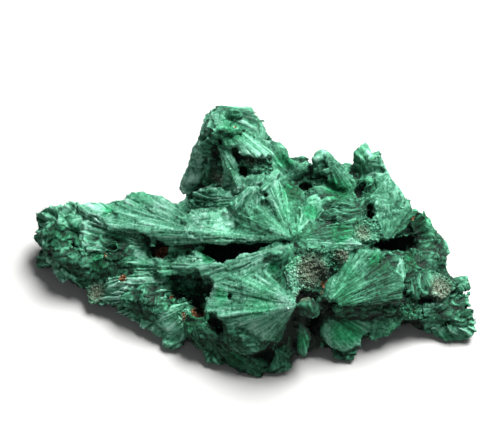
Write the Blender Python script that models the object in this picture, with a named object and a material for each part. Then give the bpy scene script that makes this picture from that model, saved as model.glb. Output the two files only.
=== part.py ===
"""Fibrous malachite, 100 mm long: one intergrown specimen, so one closed solid that stands on its underside.

The mineral grows as sheaves of needles. Every needle of a sheaf starts at one focus and ends on a rim, so
a sheaf is a flat-faced wedge, narrow at the focus and blunt at the rim, with ridges running along it.
SHEAVES gives each wedge by its focus and rim, LUMPS the compact masses that the sheaves grow from, and
HOLLOWS the pits and slots left open between them. Places are in millimetres: +X along the length, -Y
towards the front, +Z up from the level that it lies on.
"""
import math

import bmesh
import bpy
import numpy as np
from mathutils import Vector, noise

METRES = 0.001
VOXEL = 0.62
TRIANGLES = 9400
GROUND_SIZE = 200
MEND_ROUNDS = 6
GOLDEN_ANGLE = math.pi * (3 - math.sqrt(5))

# The ridges along a sheaf's face, and how far its rim comes and goes as a share of its length.
RIDGE_WIDTH = 2.6
RIDGE_HEIGHT = 0.42
RIM_RAGGED = 0.05
RIM_BULGE = 0.5
FACE_COLUMNS = 30
UNDERSIDE_COLUMNS = 12
ROWS = 10
CAP_ROWS = 3

# The line through the middle of the body, from which every face looks away.
BODY_TAPER = 0.85
BODY_Y = 3.0
BODY_Z = 4.0

# Lumps, and the small sheaves on the sides of them that SHEAVES leaves bare.
LUMP_ROUGHNESS = 0.16
HOLLOW_ROUGHNESS = 0.25
SHOWN_SIDE = np.array((0.0, -0.6, 0.8))
SHOWN_LIMIT = 0.1
TUFT_LIFT = 1.1
TUFT_THICKNESS = 3.2

# Name, focus, rim points in order, thickness at the rim.
SHEAVES = (
    ("long_left", (1.5, -5, 23),
     ((-19.5, -2, 15), (-23.5, -0.5, 18), (-29, 3.5, 18), (-31, 8.5, 17), (-27.5, 11.5, 19), (-23, 11, 20),
      (-16, 7.5, 19)), 6),
    ("left_plateau", (0.5, -5.5, 24),
     ((-15, 0, 19), (-16, 4.5, 19), (-13, 7.5, 20), (-7.5, 7, 21), (-3.5, 4.5, 22)), 5),
    ("centre_left_low", (8.5, -7, 25), ((-4, -4.5, 20), (-6.5, -4, 22), (-4.5, -2, 23), (-2, 1.5, 23)), 4),
    ("upper_left_fan", (9, -6.5, 25), ((-3.5, -0.5, 23), (-1, 3.5, 24), (1.5, 5, 25), (3.5, 4.5, 26)), 5),
    ("upper_fan", (9, -6.5, 25), ((2.5, 4.5, 25), (3.5, 8.5, 27), (6, 8.5, 28), (7, 3, 26)), 5),
    ("upper_small_fan", (9.5, -6.5, 25), ((6, 2.5, 25), (8, 0.5, 25), (10, 1, 25), (11.5, -1.5, 24)), 4),
    ("centre_triangle", (9, -6.5, 25),
     ((11.5, -2, 25), (14.5, -1.5, 24), (18, -2.5, 24), (20.5, -5, 23)), 4),
    ("centre_ridge", (9, -7, 25), ((19, -5, 24), (23, -5.5, 22), (21.5, -7, 21)), 4),
    ("front_upper", (8.5, -7.5, 25),
     ((1.5, -7.5, 22), (-4, -8, 20), (-8, -8.5, 18), (-17.5, -5.5, 15), (-15, -7.5, 14), (-9, -10, 15),
      (-4, -11.5, 18)), 5),
    ("front_upper_right", (8.5, -8.5, 25), ((-4, -10.5, 18), (-1, -12, 19), (1.5, -9, 22)), 5),
    ("front_hollow_upper", (7.5, -8, 23), ((0.5, -9.5, 17), (2.5, -12, 18), (7, -11.5, 20)), 4),
    ("front_hollow_lower", (8, -11, 23), ((3, -12, 17), (6, -17.5, 18), (7.5, -18.5, 20)), 4),
    ("front_fan_a", (8.5, -20.5, 21),
     ((1.5, -11, 20), (-3.5, -9.5, 19), (-7, -10.5, 17), (-9, -11, 14)), 6),
    ("front_fan_b", (8.5, -20.5, 21),
     ((-8.5, -11, 15), (-10.5, -13, 12), (-10.5, -16, 11), (-7.5, -17.5, 12)), 6),
    ("front_fan_c", (8.5, -21, 21),
     ((-9, -15, 12), (-7, -18.5, 12), (-3.5, -20, 11), (-1, -20, 12), (2, -20, 14)), 6),
    ("front_fan_d", (8.5, -20.5, 20),
     ((-1.5, -20, 11), (0.5, -21.5, 10), (2.5, -22.5, 10), (5, -23, 9)), 6),
    ("front_blade_a", (8.5, -19.5, 18), ((5.5, -22.5, 6), (7, -23, 4), (9, -22, 5)), 5),
    ("front_blade_b", (9.5, -20, 17), ((9, -22, 5), (10, -23.5, 3.5), (12, -20.5, 7)), 3),
    ("front_low_strip", (-13, -18, 10),
     ((-14, -19, 7), (-9, -21.5, 3), (-3.5, -24.5, 1.5), (1.5, -26, 0.5), (1.5, -24, 4)), 6),
    ("front_low_wall", (-1, -18, 7),
     ((-11, -19.5, 5), (-7.5, -23, 2), (-2, -25, 1), (2.5, -25.5, 0.5), (6.5, -24.5, 3)), 5),
    ("front_tuft", (4.5, -23, 7), ((3, -25, 1), (6, -25, 1), (8, -24, 2.5), (7.5, -23, 5)), 4),
    ("front_left_foot", (-9.5, -21.5, 4),
     ((-12, -21, 4), (-11.5, -22, 2), (-9, -23.5, 1), (-6.5, -23.5, 1.5)), 3),
    ("grey_patch_right", (15, -10, 16),
     ((13, -9.5, 25), (16.5, -8, 24), (20, -8, 22), (19, -10.5, 21), (16.5, -12, 20)), 5),
    ("right_low_fan_a", (15, -17, 16),
     ((17, -10, 19), (20.5, -7.5, 20), (23.5, -6, 20), (27.5, -5.5, 19)), 6),
    ("right_low_fan_b", (15.5, -17, 16), ((26, -6, 19), (29, -7.5, 18), (31, -10, 16)), 6),
    ("right_low_fan_c", (16.5, -17, 15), ((31, -8.5, 17), (31.5, -12.5, 15), (31, -15, 13)), 6),
    ("right_low_skirt", (20.5, -14.5, 14),
     ((31.5, -13.5, 13), (30.5, -16, 10), (26, -16.5, 8), (22.5, -16, 9)), 4),
    ("right_low_lobe", (20.5, -14.5, 11),
     ((14.5, -15, 8), (16.5, -19, 4), (20.5, -20.5, 3), (23.5, -18, 5), (23, -15.5, 8)), 5),
    ("right_low_lobe_foot", (20.5, -14.5, 6),
     ((16.5, -19, 2), (18, -21.5, 0.5), (21.5, -21.5, 0.5), (23, -19, 2)), 3),
    ("right_low_tuft", (25.5, -14, 8),
     ((24.5, -17.5, 2), (27, -18, 2), (30, -16.5, 3), (33, -14.5, 4), (31.5, -13.5, 6)), 4),
    ("right_fan_a", (28, -3.5, 20), ((25.5, 5.5, 23), (25.5, 9.5, 26), (27, 10, 27), (29.5, 9.5, 26)), 6),
    ("right_fan_b", (28, -3.5, 20), ((29, 10, 26), (31, 7.5, 25), (33.5, 5.5, 23)), 6),
    ("right_fan_c", (28, -4, 20),
     ((33, 6, 23), (34.5, 4.5, 22), (36, 4, 20), (34, 1.5, 18), (31, -1.5, 18)), 6),
    ("right_shoulder", (31, -2.5, 16), ((35.5, 5.5, 21), (37.5, 5.5, 19), (39, 4, 16), (40, 1.5, 15)), 5),
    ("right_edge_a", (33.5, -1, 15), ((39, 3, 16), (42, 1.5, 13), (42.5, -2.5, 11), (40, -4, 11)), 5),
    ("right_edge_b", (35, -1, 13), ((42, -1, 11), (43.5, -4, 9), (45.5, -5.5, 8), (42, -7, 9)), 5),
    ("right_face", (33.5, -3, 16), ((31, -6, 16), (32, -10.5, 14), (34.5, -12.5, 12), (38, -10, 11)), 5),
    ("pink_shoulder", (37.5, -4.5, 11), ((37, -10, 10), (40, -10.5, 8), (44, -9, 8), (46, -6, 8)), 4),
    ("foot_a", (36, -11, 9),
     ((44.5, -6, 8), (47.5, -5.5, 7), (48, -8, 5), (49, -11.5, 4), (45.5, -13, 5)), 5),
    ("foot_b", (36, -10.5, 8), ((48, -10.5, 4), (49, -15, 3), (48, -16.5, 2), (44.5, -15, 3)), 5),
    ("foot_c", (35.5, -10.5, 7),
     ((47.5, -16, 2), (47.5, -17, 0.5), (42.5, -17, 0.5), (39, -14.5, 1.5), (37.5, -12, 3)), 5),
    ("brown_bank", (37, -12, 8), ((31, -13, 10), (31, -15, 8), (34, -14.5, 6), (36, -13.5, 6)), 4),
    ("lobe_top", (-1, 14, 24),
     ((-11.5, 17.5, 35), (-10.5, 18.5, 37), (-8.5, 18.5, 38), (-5, 17.5, 37.5), (-3.5, 17, 36)), 6),
    ("lobe_right", (4.5, 9.5, 23),
     ((-6.5, 15, 33), (-5, 17, 37), (-1, 17.5, 37), (1.5, 15.5, 36), (3, 13, 33)), 6),
    ("lobe_edge", (-4.5, 8.5, 22),
     ((-16.5, 10.5, 20), (-15.5, 12, 27), (-13, 14.5, 34), (-11, 18, 37), (-9, 16, 36)), 5),
    ("lobe_left_face", (-5.5, 10, 19),
     ((-16, 8.5, 17), (-16.5, 11, 20), (-15, 12, 27), (-12.5, 15, 33), (-9.5, 12.5, 32), (-7, 11, 27)), 5),
    ("lobe_lump", (1.5, 6.5, 22), ((-4.5, 7, 22), (-3.5, 9, 25), (0, 10, 26), (2.5, 8.5, 25)), 4),
    ("lobe_roll", (-5, 5.5, 21), ((-14.5, 8, 18), (-13.5, 11, 20), (-9.5, 11, 22), (-6, 10, 23)), 4),
    ("lobe_right_low", (5.5, 6.5, 23), ((1.5, 8.5, 27), (2.5, 11, 30), (3.5, 13.5, 32), (5.5, 9.5, 29)), 4),
    ("crag_a", (9, 11.5, 22), ((2.5, 11, 30), (3.5, 13.5, 32), (5.5, 14.5, 31), (7, 13, 30)), 5),
    ("crag_b", (10, 10.5, 22), ((6, 12.5, 30), (8, 11.5, 30), (9.5, 11.5, 28)), 5),
    ("crag_c", (8, 9.5, 23),
     ((8, 10.5, 26), (8.5, 12, 28), (11.5, 12.5, 30), (13, 12, 29), (12.5, 10, 26)), 5),
    ("green_face", (7.5, 2, 23), ((2.5, 8, 26), (5, 9.5, 28), (9, 10, 26), (10, 6, 24)), 4),
    ("peak_a", (16.5, 4, 22), ((12, 9, 25), (13, 11.5, 29), (15.5, 13, 30), (17, 12, 29)), 5),
    ("peak_b", (22, 3.5, 21), ((15.5, 12, 29), (17, 12.5, 29), (20, 12, 27), (22, 8.5, 25)), 5),
    ("middle_trough", (20, 2.5, 21), ((13.5, 8.5, 24), (16.5, 9.5, 25), (20, 8.5, 24)), 4),
    ("middle_knob", (13.5, -1, 22), ((10.5, 3, 24), (12, 5.5, 25), (14, 5, 25), (16, 2.5, 24)), 4),
    ("middle_ledge_a", (9.5, -3, 23), ((14.5, 1.5, 24), (18, 3, 24), (21, 1.5, 23), (20.5, 0.5, 22)), 4),
    ("middle_ledge_b", (11, -4.5, 23), ((16.5, -2, 24), (20, -1, 23), (22, -2.5, 22)), 4),
    ("right_knob_a", (23.5, 9, 20),
     ((21.5, 13, 26), (21.5, 14.5, 29), (24, 14.5, 30), (26, 13.5, 29), (26.5, 11.5, 26)), 6),
    ("right_knob_b", (27.5, 11, 20), ((24.5, 13, 28), (26.5, 14, 29), (28.5, 12, 28), (29.5, 10, 26)), 6),
    ("right_knob_low", (25.5, 3.5, 20),
     ((21, 6, 24), (22.5, 8.5, 25), (25.5, 8.5, 25), (26.5, 5.5, 24)), 4),
    ("grain_bank", (28, -3, 20), ((20.5, -4.5, 22), (21.5, -1, 22), (24, 1.5, 22), (27, 0.5, 22)), 4),
    ("arm_ridge", (-23.5, 2, 16),
     ((-38.5, 8, 14), (-40.5, 10, 15), (-38, 11.5, 15), (-35, 11, 15), (-33, 8, 15)), 6),
    ("arm_back", (-25.5, 4, 15),
     ((-36, 10, 14), (-34, 11.5, 15), (-30.5, 11, 16), (-28, 10.5, 17), (-28.5, 6.5, 17)), 6),
    ("arm_tip_top", (-36.5, 4, 12),
     ((-44.5, 7, 13), (-44.5, 11, 14), (-42, 12, 15), (-39, 11, 15), (-37.5, 8.5, 14)), 6),
    ("arm_tip", (-41, 4, 11),
     ((-50, 7, 9), (-51, 9.5, 9), (-49.5, 11.5, 12), (-46.5, 11.5, 14), (-44, 10.5, 14)), 6),
    ("arm_middle", (-20.5, -0.5, 14),
     ((-36.5, 0, 12), (-39.5, 4, 12), (-38.5, 6.5, 14), (-34, 6, 15), (-29, 4, 16)), 6),
    ("arm_face", (-23.5, -1.5, 13),
     ((-38.5, -2.5, 8), (-41.5, -1, 9), (-39.5, 1.5, 11), (-35.5, 2, 12)), 6),
    ("arm_rim", (-38.5, 0.5, 9),
     ((-44, -2.5, 4), (-46.5, 1, 5), (-48.5, 5.5, 7), (-47.5, 7, 9), (-43.5, 5, 11)), 6),
    ("arm_rim_low", (-36, 1, 8), ((-40.5, -3, 4), (-44, -2.5, 4), (-45.5, 0, 6), (-43, 0.5, 9)), 6),
    ("arm_face_low", (-21, -1.5, 12), ((-32.5, -4, 8), (-38.5, -3, 7), (-38, -0.5, 10), (-32.5, 0, 12)), 6),
    ("grain_face", (-30.5, -5.5, 8),
     ((-34, -9, 3), (-37, -8.5, 3), (-38.5, -5, 4), (-37.5, -2.5, 6), (-34, -3, 7)), 5),
    ("pale_bank", (-19.5, -6.5, 10),
     ((-30, -8.5, 5), (-33.5, -6.5, 7), (-30.5, -4, 9), (-23.5, -4, 11)), 5),
    ("pale_low", (-23.5, -9.5, 8),
     ((-30.5, -9.5, 4), (-34.5, -9, 4), (-33.5, -6.5, 6), (-28.5, -6.5, 8)), 5),
    ("hole_rim", (-19.5, -5.5, 12),
     ((-28.5, -2.5, 11), (-27.5, 0, 12), (-23, 0.5, 13), (-21.5, -3.5, 13)), 5),
    ("cavity_bank", (-12, -7, 14), ((-21.5, -6.5, 11), (-21, -4, 13), (-17, -4.5, 15), (-13, -6.5, 16)), 5),
    ("slot_mound", (-9.5, -5.5, 15),
     ((-15.5, -4.5, 14), (-14, -3.5, 16), (-11, -3.5, 17), (-7.5, -6, 17)), 4),
    ("low_left_a", (-17, -12.5, 9),
     ((-27.5, -13.5, 3), (-31, -11.5, 3), (-29.5, -9.5, 5), (-24, -10.5, 8)), 5),
    ("low_left_b", (-15, -14, 9),
     ((-20, -16.5, 3), (-24, -14.5, 3), (-26.5, -12.5, 5), (-22, -11.5, 8)), 5),
    ("low_left_c", (-12.5, -16, 10), ((-14.5, -18, 4), (-19, -17, 4), (-21, -14.5, 6), (-17.5, -14, 9)), 5),
    ("low_left_foot", (-14.5, -16, 7),
     ((-17, -19, 1), (-19.5, -19, 1), (-21, -16.5, 2), (-19.5, -15, 4)), 5),
    ("cavity_tongue", (-19.5, -10, 8),
     ((-18.5, -9.5, 9), (-14.5, -11, 8), (-14.5, -12, 7), (-18.5, -12, 7)), 2),
    ("cavity_lip", (-10.5, -18.5, 10), ((-11, -11.5, 12), (-11, -15, 10), (-12.5, -16.5, 9)), 4),
    ("back_lobe_high", (-5, 14, 22), ((-13, 18, 28), (-11, 21, 33), (-6, 22, 35), (-1, 20, 33)), 5),
    ("back_lobe", (-5, 15, 20), ((-15, 18, 17), (-12, 24, 16), (-5, 27, 15), (2, 25, 17)), 6),
    ("back_crag", (9, 10, 22), ((3, 20, 25), (8, 22, 22), (14, 21, 25)), 5),
    ("back_middle", (10, 12, 19), ((2, 25, 14), (9, 27, 12), (16, 25, 14), (19, 21, 19)), 6),
    ("back_knob", (25, 8, 19), ((19, 19, 20), (24, 21, 18), (29, 19, 20), (31, 14, 22)), 6),
    ("back_right", (27, 6, 16), ((21, 22, 11), (28, 22, 8), (34, 18, 10), (36, 13, 14)), 6),
    ("back_end", (34, 0, 12), ((38, 10, 14), (42, 7, 10), (44, 2, 8), (43, -2, 8)), 5),
    ("back_arm", (-24, 6, 14), ((-38, 13, 11), (-32, 17, 9), (-24, 18, 10), (-17, 15, 13)), 5),
    ("back_notch", (-18, 8, 14), ((-20, 14, 17), (-16, 18, 13), (-13, 20, 10)), 5),
)

# Name, middle, half sizes along X, Y and Z, and how many small tufts grow out of its hidden side.
LUMPS = (
    ("centre", (9, -2, 8.5), (22, 15, 10), 34),
    ("centre_high", (7, -7, 17), (7, 5, 6), 0),
    ("left_arm", (-29, 3, 6.8), (17, 8, 6.2), 26),
    ("right", (29, -1, 8), (13, 12, 9), 26),
    ("tall_lobe", (-6, 13, 16), (7.5, 6, 16), 26),
    ("back", (11, 13, 10.5), (18, 9.5, 11.5), 34),
    ("front", (-1, -15, 6), (10, 7.5, 7), 8),
    ("right_front", (24, -10, 6), (9, 6, 6.6), 8),
    ("foot", (40.5, -10, 3.8), (6.5, 5, 4), 8),
    ("low_left", (-20, -8, 4.5), (10, 6, 4.6), 12),
    ("front_left", (-11, -15, 4.5), (4.5, 5, 5), 0),
    ("lobe_right_mass", (0.5, 14, 22), (4.5, 3.6, 10), 0),
    ("tip", (-43.5, 6, 8), (5, 4.5, 4.5), 14),
    ("grey_patch", (12, -13, 19.5), (3.0, 4.6, 4.2), 0),
    ("grey_ball", (10.6, -18.6, 18.5), (1.8, 2.0, 2.2), 0),
)

# Name, middle, half sizes: the pits, holes and slots between the sheaves.
HOLLOWS = (
    ("main_cavity", (-14.8, -12.2, 11), (4.2, 4.2, 7.5)),
    ("side_cavity", (-10.6, -13.5, 13), (1.6, 2.0, 6)),
    ("centre_slot", (-4, -6.6, 20), (7.5, 1.4, 5)),
    ("arm_hole", (-20.6, -2.5, 15), (1.9, 1.8, 5)),
    ("lobe_pit", (-0.5, 9.4, 28.5), (3.4, 1.6, 2.4)),
    ("crag_cavity", (13, 7.0, 26), (3.0, 1.6, 4)),
    ("knob_hole", (24.3, 6.2, 25), (1.5, 1.0, 4)),
    ("fan_hole", (26.0, 2.6, 23), (1.4, 1.4, 4)),
    ("right_gap", (31, -4.6, 18), (5, 1.2, 4)),
    ("front_gap", (13.2, -20.5, 7), (2.0, 5, 9)),
    ("under_fan", (-3, -23, 7.6), (6.5, 3.0, 3.2)),
    ("foot_cavity", (38, -11.4, 8.6), (3.4, 1.4, 2.0)),
    ("tip_pit", (-40.5, 0.2, 12), (1.5, 1.5, 3.0)),
)


def spline(points, shares):
    """A smooth curve through the points: each stretch is a cubic that leans along its neighbours' chord."""
    points = np.array(points, float)
    ends = np.vstack([2 * points[0] - points[1], points, 2 * points[-1] - points[-2]])
    along = shares * (len(points) - 1)
    stretch = np.minimum(along.astype(int), len(points) - 2)
    t = (along - stretch)[:, None]
    before, start, end, after = (ends[stretch + k] for k in range(4))
    lean_in = (end - before) / 2
    lean_out = (after - start) / 2
    return (
        (2 * t**3 - 3 * t**2 + 1) * start
        + (t**3 - 2 * t**2 + t) * lean_in
        + (3 * t**2 - 2 * t**3) * end
        + (t**3 - t**2) * lean_out
    )


def waves(shares, length, width, seed):
    """Ridges of about the given width along a length: three cosines whose phases come from the seed."""
    rng = np.random.default_rng(seed)
    total = np.zeros_like(shares)
    for octave, strength in ((0.6, 0.5), (1.0, 0.8), (1.9, 0.4)):
        count = max(1.0, octave * length / width)
        total += strength * np.cos(2 * math.pi * (count * shares + rng.random()))
    return total


def close_grid(points):
    """Faces of a grid of rings whose first and last rings are each closed by a fan to their middle."""
    rows, columns = points.shape[:2]
    index = np.arange(rows * columns).reshape(rows, columns)
    after = np.roll(index, -1, axis=1)
    quads = np.stack([index[:-1], index[1:], after[1:], after[:-1]], -1).reshape(-1, 4)
    start, end = rows * columns, rows * columns + 1
    caps = [(start, int(a), int(b)) for a, b in zip(index[0], after[0])]
    caps += [(end, int(b), int(a)) for a, b in zip(index[-1], after[-1])]
    vertices = np.vstack([points.reshape(-1, 3), points[0].mean(0), points[-1].mean(0)])
    return vertices, [tuple(int(i) for i in quad) for quad in quads] + caps


def sheaf(focus, rim, thickness, seed):
    """A wedge of needles: rings around its face and underside, scaled up from the focus to the rim. The face
    looks away from a line through the middle of the body."""
    focus = np.array(focus, float)
    back_again = np.linspace(1, 0, UNDERSIDE_COLUMNS + 2)[1:-1]
    across = np.concatenate([np.linspace(0, 1, FACE_COLUMNS), back_again])
    under = np.concatenate([np.zeros(FACE_COLUMNS), np.ones(UNDERSIDE_COLUMNS)])
    edge = spline(rim, across)
    arms = edge - focus
    out = np.cross(arms[: FACE_COLUMNS - 1], arms[1:FACE_COLUMNS]).sum(0)
    out /= np.linalg.norm(out)
    inside = np.array([BODY_TAPER * edge[:, 0].mean(), BODY_Y, BODY_Z])
    if out @ (edge.mean(0) - inside) < 0:
        out = -out
    length = np.linalg.norm(np.diff(edge[:FACE_COLUMNS], axis=0), axis=1).sum()
    ridges = RIDGE_HEIGHT * waves(across, length, RIDGE_WIDTH, seed)
    ragged = 1 + RIM_RAGGED * waves(across, length, 0.8 * RIDGE_WIDTH, seed + 1)
    deep = thickness * under * (1 - np.abs(2 * across - 1) ** 4)
    along = np.linspace(0.06, 1, ROWS)[:, None]
    height = (1 - under) * ridges * along - deep * along**0.7
    grid = focus + (along * ragged)[..., None] * arms + height[..., None] * out
    middle = grid[-1].mean(0)
    forward = (middle - focus) / np.linalg.norm(middle - focus)
    shrink = np.linspace(1, 0, CAP_ROWS + 2)[1:-1, None, None]
    cap = middle + shrink * (grid[-1] - middle) + forward * RIM_BULGE * (1 - shrink**2)
    return close_grid(np.concatenate([grid, cap]))


def lump(middle, half_sizes, rough, seed, rings=14, columns=24):
    """An ellipsoid whose radius rises and falls with a smooth noise over its surface."""
    up = np.linspace(0, math.pi, rings + 2)[1:-1, None]
    round_ = np.linspace(0, 2 * math.pi, columns, endpoint=False)[None, :]
    way = np.stack([np.sin(up) * np.cos(round_), np.sin(up) * np.sin(round_), np.cos(up) + 0 * round_], -1)
    shift = Vector((seed, 0, 0))
    radius = np.array([[1 + rough * noise.noise(Vector(w) * 3 + shift) for w in row] for row in way])
    points = np.array(middle) + way * radius[..., None] * np.array(half_sizes)
    return close_grid(points[:, ::-1])


def tufts(middle, half_sizes, count, seed):
    """Small sheaves all over a lump, less those on the side that the hand-placed sheaves cover. Their places
    follow a golden spiral, and each lies along the skin, turned its own way, with its rim lifted off it."""
    rng = np.random.default_rng(seed)
    middle, half_sizes = np.array(middle, float), np.array(half_sizes, float)
    made = []
    for i in range(count):
        height = 1 - (2 * i + 1) / count
        turn = i * GOLDEN_ANGLE + seed
        flat = math.sqrt(1 - height**2)
        way = np.array([flat * math.cos(turn), flat * math.sin(turn), height])
        out = way / half_sizes
        out /= np.linalg.norm(out)
        length = rng.uniform(6, 10)
        width = rng.uniform(4, 8)
        lean = rng.uniform(0, 2 * math.pi)
        if out @ SHOWN_SIDE > SHOWN_LIMIT:
            continue
        side = np.cross(out, (0.3, 0.2, 1))
        side /= np.linalg.norm(side)
        along = math.cos(lean) * side + math.sin(lean) * np.cross(out, side)
        across = np.cross(out, along)
        seat = middle + way * half_sizes
        tip = seat + along * 0.5 * length + out * TUFT_LIFT
        rim = [tip - across * width / 2 - along, tip + along * 0.6, tip + across * width / 2 - along]
        made.append(sheaf(seat - along * 0.5 * length - out * TUFT_LIFT, rim, TUFT_THICKNESS, 100 * seed + i))
    return made


def make_object(name, shapes):
    """One mesh object of several closed shapes, each facing out."""
    vertices, faces, start = [], [], 0
    for points, sides in shapes:
        vertices.append(points)
        faces += [tuple(i + start for i in side) for side in sides]
        start += len(points)
    mesh = bpy.data.meshes.new(name)
    mesh.from_pydata(np.vstack(vertices).tolist(), [], faces)
    made = bmesh.new()
    made.from_mesh(mesh)
    bmesh.ops.recalc_face_normals(made, faces=made.faces)
    made.to_mesh(mesh)
    made.free()
    item = bpy.data.objects.new(name, mesh)
    bpy.context.scene.collection.objects.link(item)
    return item


def applied(item):
    """The item's mesh with its modifiers applied."""
    bpy.context.view_layer.update()
    graph = bpy.context.evaluated_depsgraph_get()
    mesh = bpy.data.meshes.new_from_object(item.evaluated_get(graph))
    item.modifiers.clear()
    item.data = mesh


def keep_largest(item):
    """Deletes every loose shell but the one with the most faces."""
    made = bmesh.new()
    made.from_mesh(item.data)
    left = set(made.verts)
    shells = []
    while left:
        shell, edge = set(), [left.pop()]
        while edge:
            vertex = edge.pop()
            shell.add(vertex)
            for link in vertex.link_edges:
                other = link.other_vert(vertex)
                if other in left:
                    left.discard(other)
                    edge.append(other)
        shells.append(shell)
    shells.sort(key=len)
    loose = [vertex for shell in shells[:-1] for vertex in shell]
    bmesh.ops.delete(made, geom=loose, context="VERTS")
    made.to_mesh(item.data)
    made.free()


def mend(item):
    """Where thinning let the skin pinch, removes the faces round the pinch and closes the hole."""
    made = bmesh.new()
    made.from_mesh(item.data)
    for _ in range(MEND_ROUNDS):
        pinched = {v for edge in made.edges if len(edge.link_faces) != 2 for v in edge.verts}
        pinched |= {v for v in made.verts if not v.is_manifold}
        if not pinched:
            break
        faces = {face for vertex in pinched for face in vertex.link_faces}
        bmesh.ops.delete(made, geom=list(faces), context="FACES")
        loose = [v for v in made.verts if not v.link_faces]
        bmesh.ops.delete(made, geom=loose, context="VERTS")
        rim = [edge for edge in made.edges if len(edge.link_faces) == 1]
        filled = bmesh.ops.holes_fill(made, edges=rim, sides=0)
        bmesh.ops.triangulate(made, faces=filled["faces"])
    bmesh.ops.recalc_face_normals(made, faces=made.faces)
    made.to_mesh(item.data)
    made.free()


def cut_at_ground(item):
    """Cuts the underside flat at z = 0, so that the specimen rests on those facets."""
    made = bmesh.new()
    bmesh.ops.create_cube(made, size=GROUND_SIZE)
    bmesh.ops.translate(made, verts=made.verts, vec=(0, 0, -GROUND_SIZE / 2))
    mesh = bpy.data.meshes.new("ground")
    made.to_mesh(mesh)
    made.free()
    ground = bpy.data.objects.new("ground", mesh)
    bpy.context.scene.collection.objects.link(ground)
    ground.hide_render = True
    ground.display_type = "WIRE"
    cut = item.modifiers.new("ground", "BOOLEAN")
    cut.operation = "DIFFERENCE"
    cut.object = ground
    applied(item)


def centre_on_origin(item):
    """Moves the middle of the underside's box to the origin and turns millimetres into metres."""
    points = np.array([vertex.co for vertex in item.data.vertices])
    low, high = points.min(0), points.max(0)
    points -= ((low[0] + high[0]) / 2, (low[1] + high[1]) / 2, low[2])
    item.data.vertices.foreach_set("co", (points * METRES).ravel())
    item.data.update()


def malachite_material():
    """Silky green copper carbonate: dielectric, half rough."""
    material = bpy.data.materials.new("malachite")
    material.use_nodes = True
    shader = material.node_tree.nodes["Principled BSDF"]
    shader.inputs["Base Color"].default_value = (0.045, 0.27, 0.15, 1)
    shader.inputs["Roughness"].default_value = 0.5
    shader.inputs["Metallic"].default_value = 0
    return material


def main():
    for item in list(bpy.data.objects):
        bpy.data.objects.remove(item, do_unlink=True)
    wedges = [sheaf(focus, rim, thick, 7 * i) for i, (_, focus, rim, thick) in enumerate(SHEAVES)]
    masses = [lump(middle, half, LUMP_ROUGHNESS, i) for i, (_, middle, half, _) in enumerate(LUMPS)]
    felt = []
    for i, (_, middle, half, count) in enumerate(LUMPS):
        felt += tufts(middle, half, count, i + 1)
    specimen = make_object("malachite_specimen", wedges + masses + felt)
    grow = specimen.modifiers.new("grown_together", "REMESH")
    grow.mode = "VOXEL"
    grow.voxel_size = VOXEL
    applied(specimen)

    for i, (name, middle, half) in enumerate(HOLLOWS):
        cutter = make_object(name, [lump(middle, half, HOLLOW_ROUGHNESS, len(LUMPS) + i)])
        cutter.hide_render = True
        cutter.display_type = "WIRE"
        pit = specimen.modifiers.new(name, "BOOLEAN")
        pit.operation = "DIFFERENCE"
        pit.object = cutter
    applied(specimen)
    keep_largest(specimen)

    fewer = specimen.modifiers.new("fewer_faces", "DECIMATE")
    fewer.ratio = TRIANGLES / sum(len(face.vertices) - 2 for face in specimen.data.polygons)
    applied(specimen)
    mend(specimen)
    keep_largest(specimen)
    cut_at_ground(specimen)
    centre_on_origin(specimen)
    specimen.data.materials.append(malachite_material())


main()
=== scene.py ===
"""Fibrous malachite, 100 mm long, dressed: a skin of needle sheaves grown together, over a pale floor.

Every needle of a sheaf starts at one focus and ends on a rim. The sheaves are joined into one skin, and each
point of the skin knows its place across and along the sheaf that it belongs to, and which way the needles
run there. Bundles and broken steps are a relief on it; locks and loose needles lie along it.
Places in the tables are in millimetres: +X along the length, -Y towards the front, +Z up.
"""
import math

import bpy
import numpy as np
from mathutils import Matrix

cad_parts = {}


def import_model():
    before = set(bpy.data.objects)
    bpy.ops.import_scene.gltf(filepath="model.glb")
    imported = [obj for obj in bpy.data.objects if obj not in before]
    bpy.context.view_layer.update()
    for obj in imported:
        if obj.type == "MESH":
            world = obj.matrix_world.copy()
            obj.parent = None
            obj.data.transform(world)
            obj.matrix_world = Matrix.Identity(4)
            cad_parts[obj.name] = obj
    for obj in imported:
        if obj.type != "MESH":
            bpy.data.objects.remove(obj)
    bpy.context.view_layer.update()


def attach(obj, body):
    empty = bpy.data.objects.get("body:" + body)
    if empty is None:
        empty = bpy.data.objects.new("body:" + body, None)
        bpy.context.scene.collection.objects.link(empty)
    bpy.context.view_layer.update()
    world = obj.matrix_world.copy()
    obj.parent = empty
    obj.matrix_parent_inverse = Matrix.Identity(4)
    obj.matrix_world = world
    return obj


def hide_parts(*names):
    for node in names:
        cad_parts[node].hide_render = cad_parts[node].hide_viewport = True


MM = 0.001
NODE = "malachite_specimen"
CENTRING = np.array((0.81, -0.51, 0.0))
BOX_LOW = np.array((-50.05, -26.2, 0.03))
BOX_HIGH = np.array((50.05, 26.2, 40.0))
GOLDEN_ANGLE = math.pi * (3 - math.sqrt(5))
NOISE_PERIOD = 64
NEEDLE_PIECES = 1
NEEDLES_A_PIECE = 19000
VOXEL = 0.27
UNION_VOXEL = 0.5
CELL_PERIOD = 32
LOCK_WIDE = 1.7
LOCK_LONG = 9.0
LAYER_WIDE = 2.6
TUFT_CELL = np.array((2.8, 1.4, 1.2))
SLABS = ((-60, -17), (-17, -3), (-3, 9), (9, 24), (24, 60))
SLAB_LAP = 0.6

FACE_COLUMNS = 34
UNDERSIDE_COLUMNS = 12
ROWS = 14
CAP_ROWS = 3
RIM_RAGGED = 0.05
RIM_BULGE = 0.5
BODY_TAPER = 0.85
BODY_Y = 3.0
BODY_Z = 4.0
LUMP_ROUGHNESS = 0.16
HOLLOW_ROUGHNESS = 0.3
HOLLOW_DEEPER = 0.9
LUMP_TONE = 0.2

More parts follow.
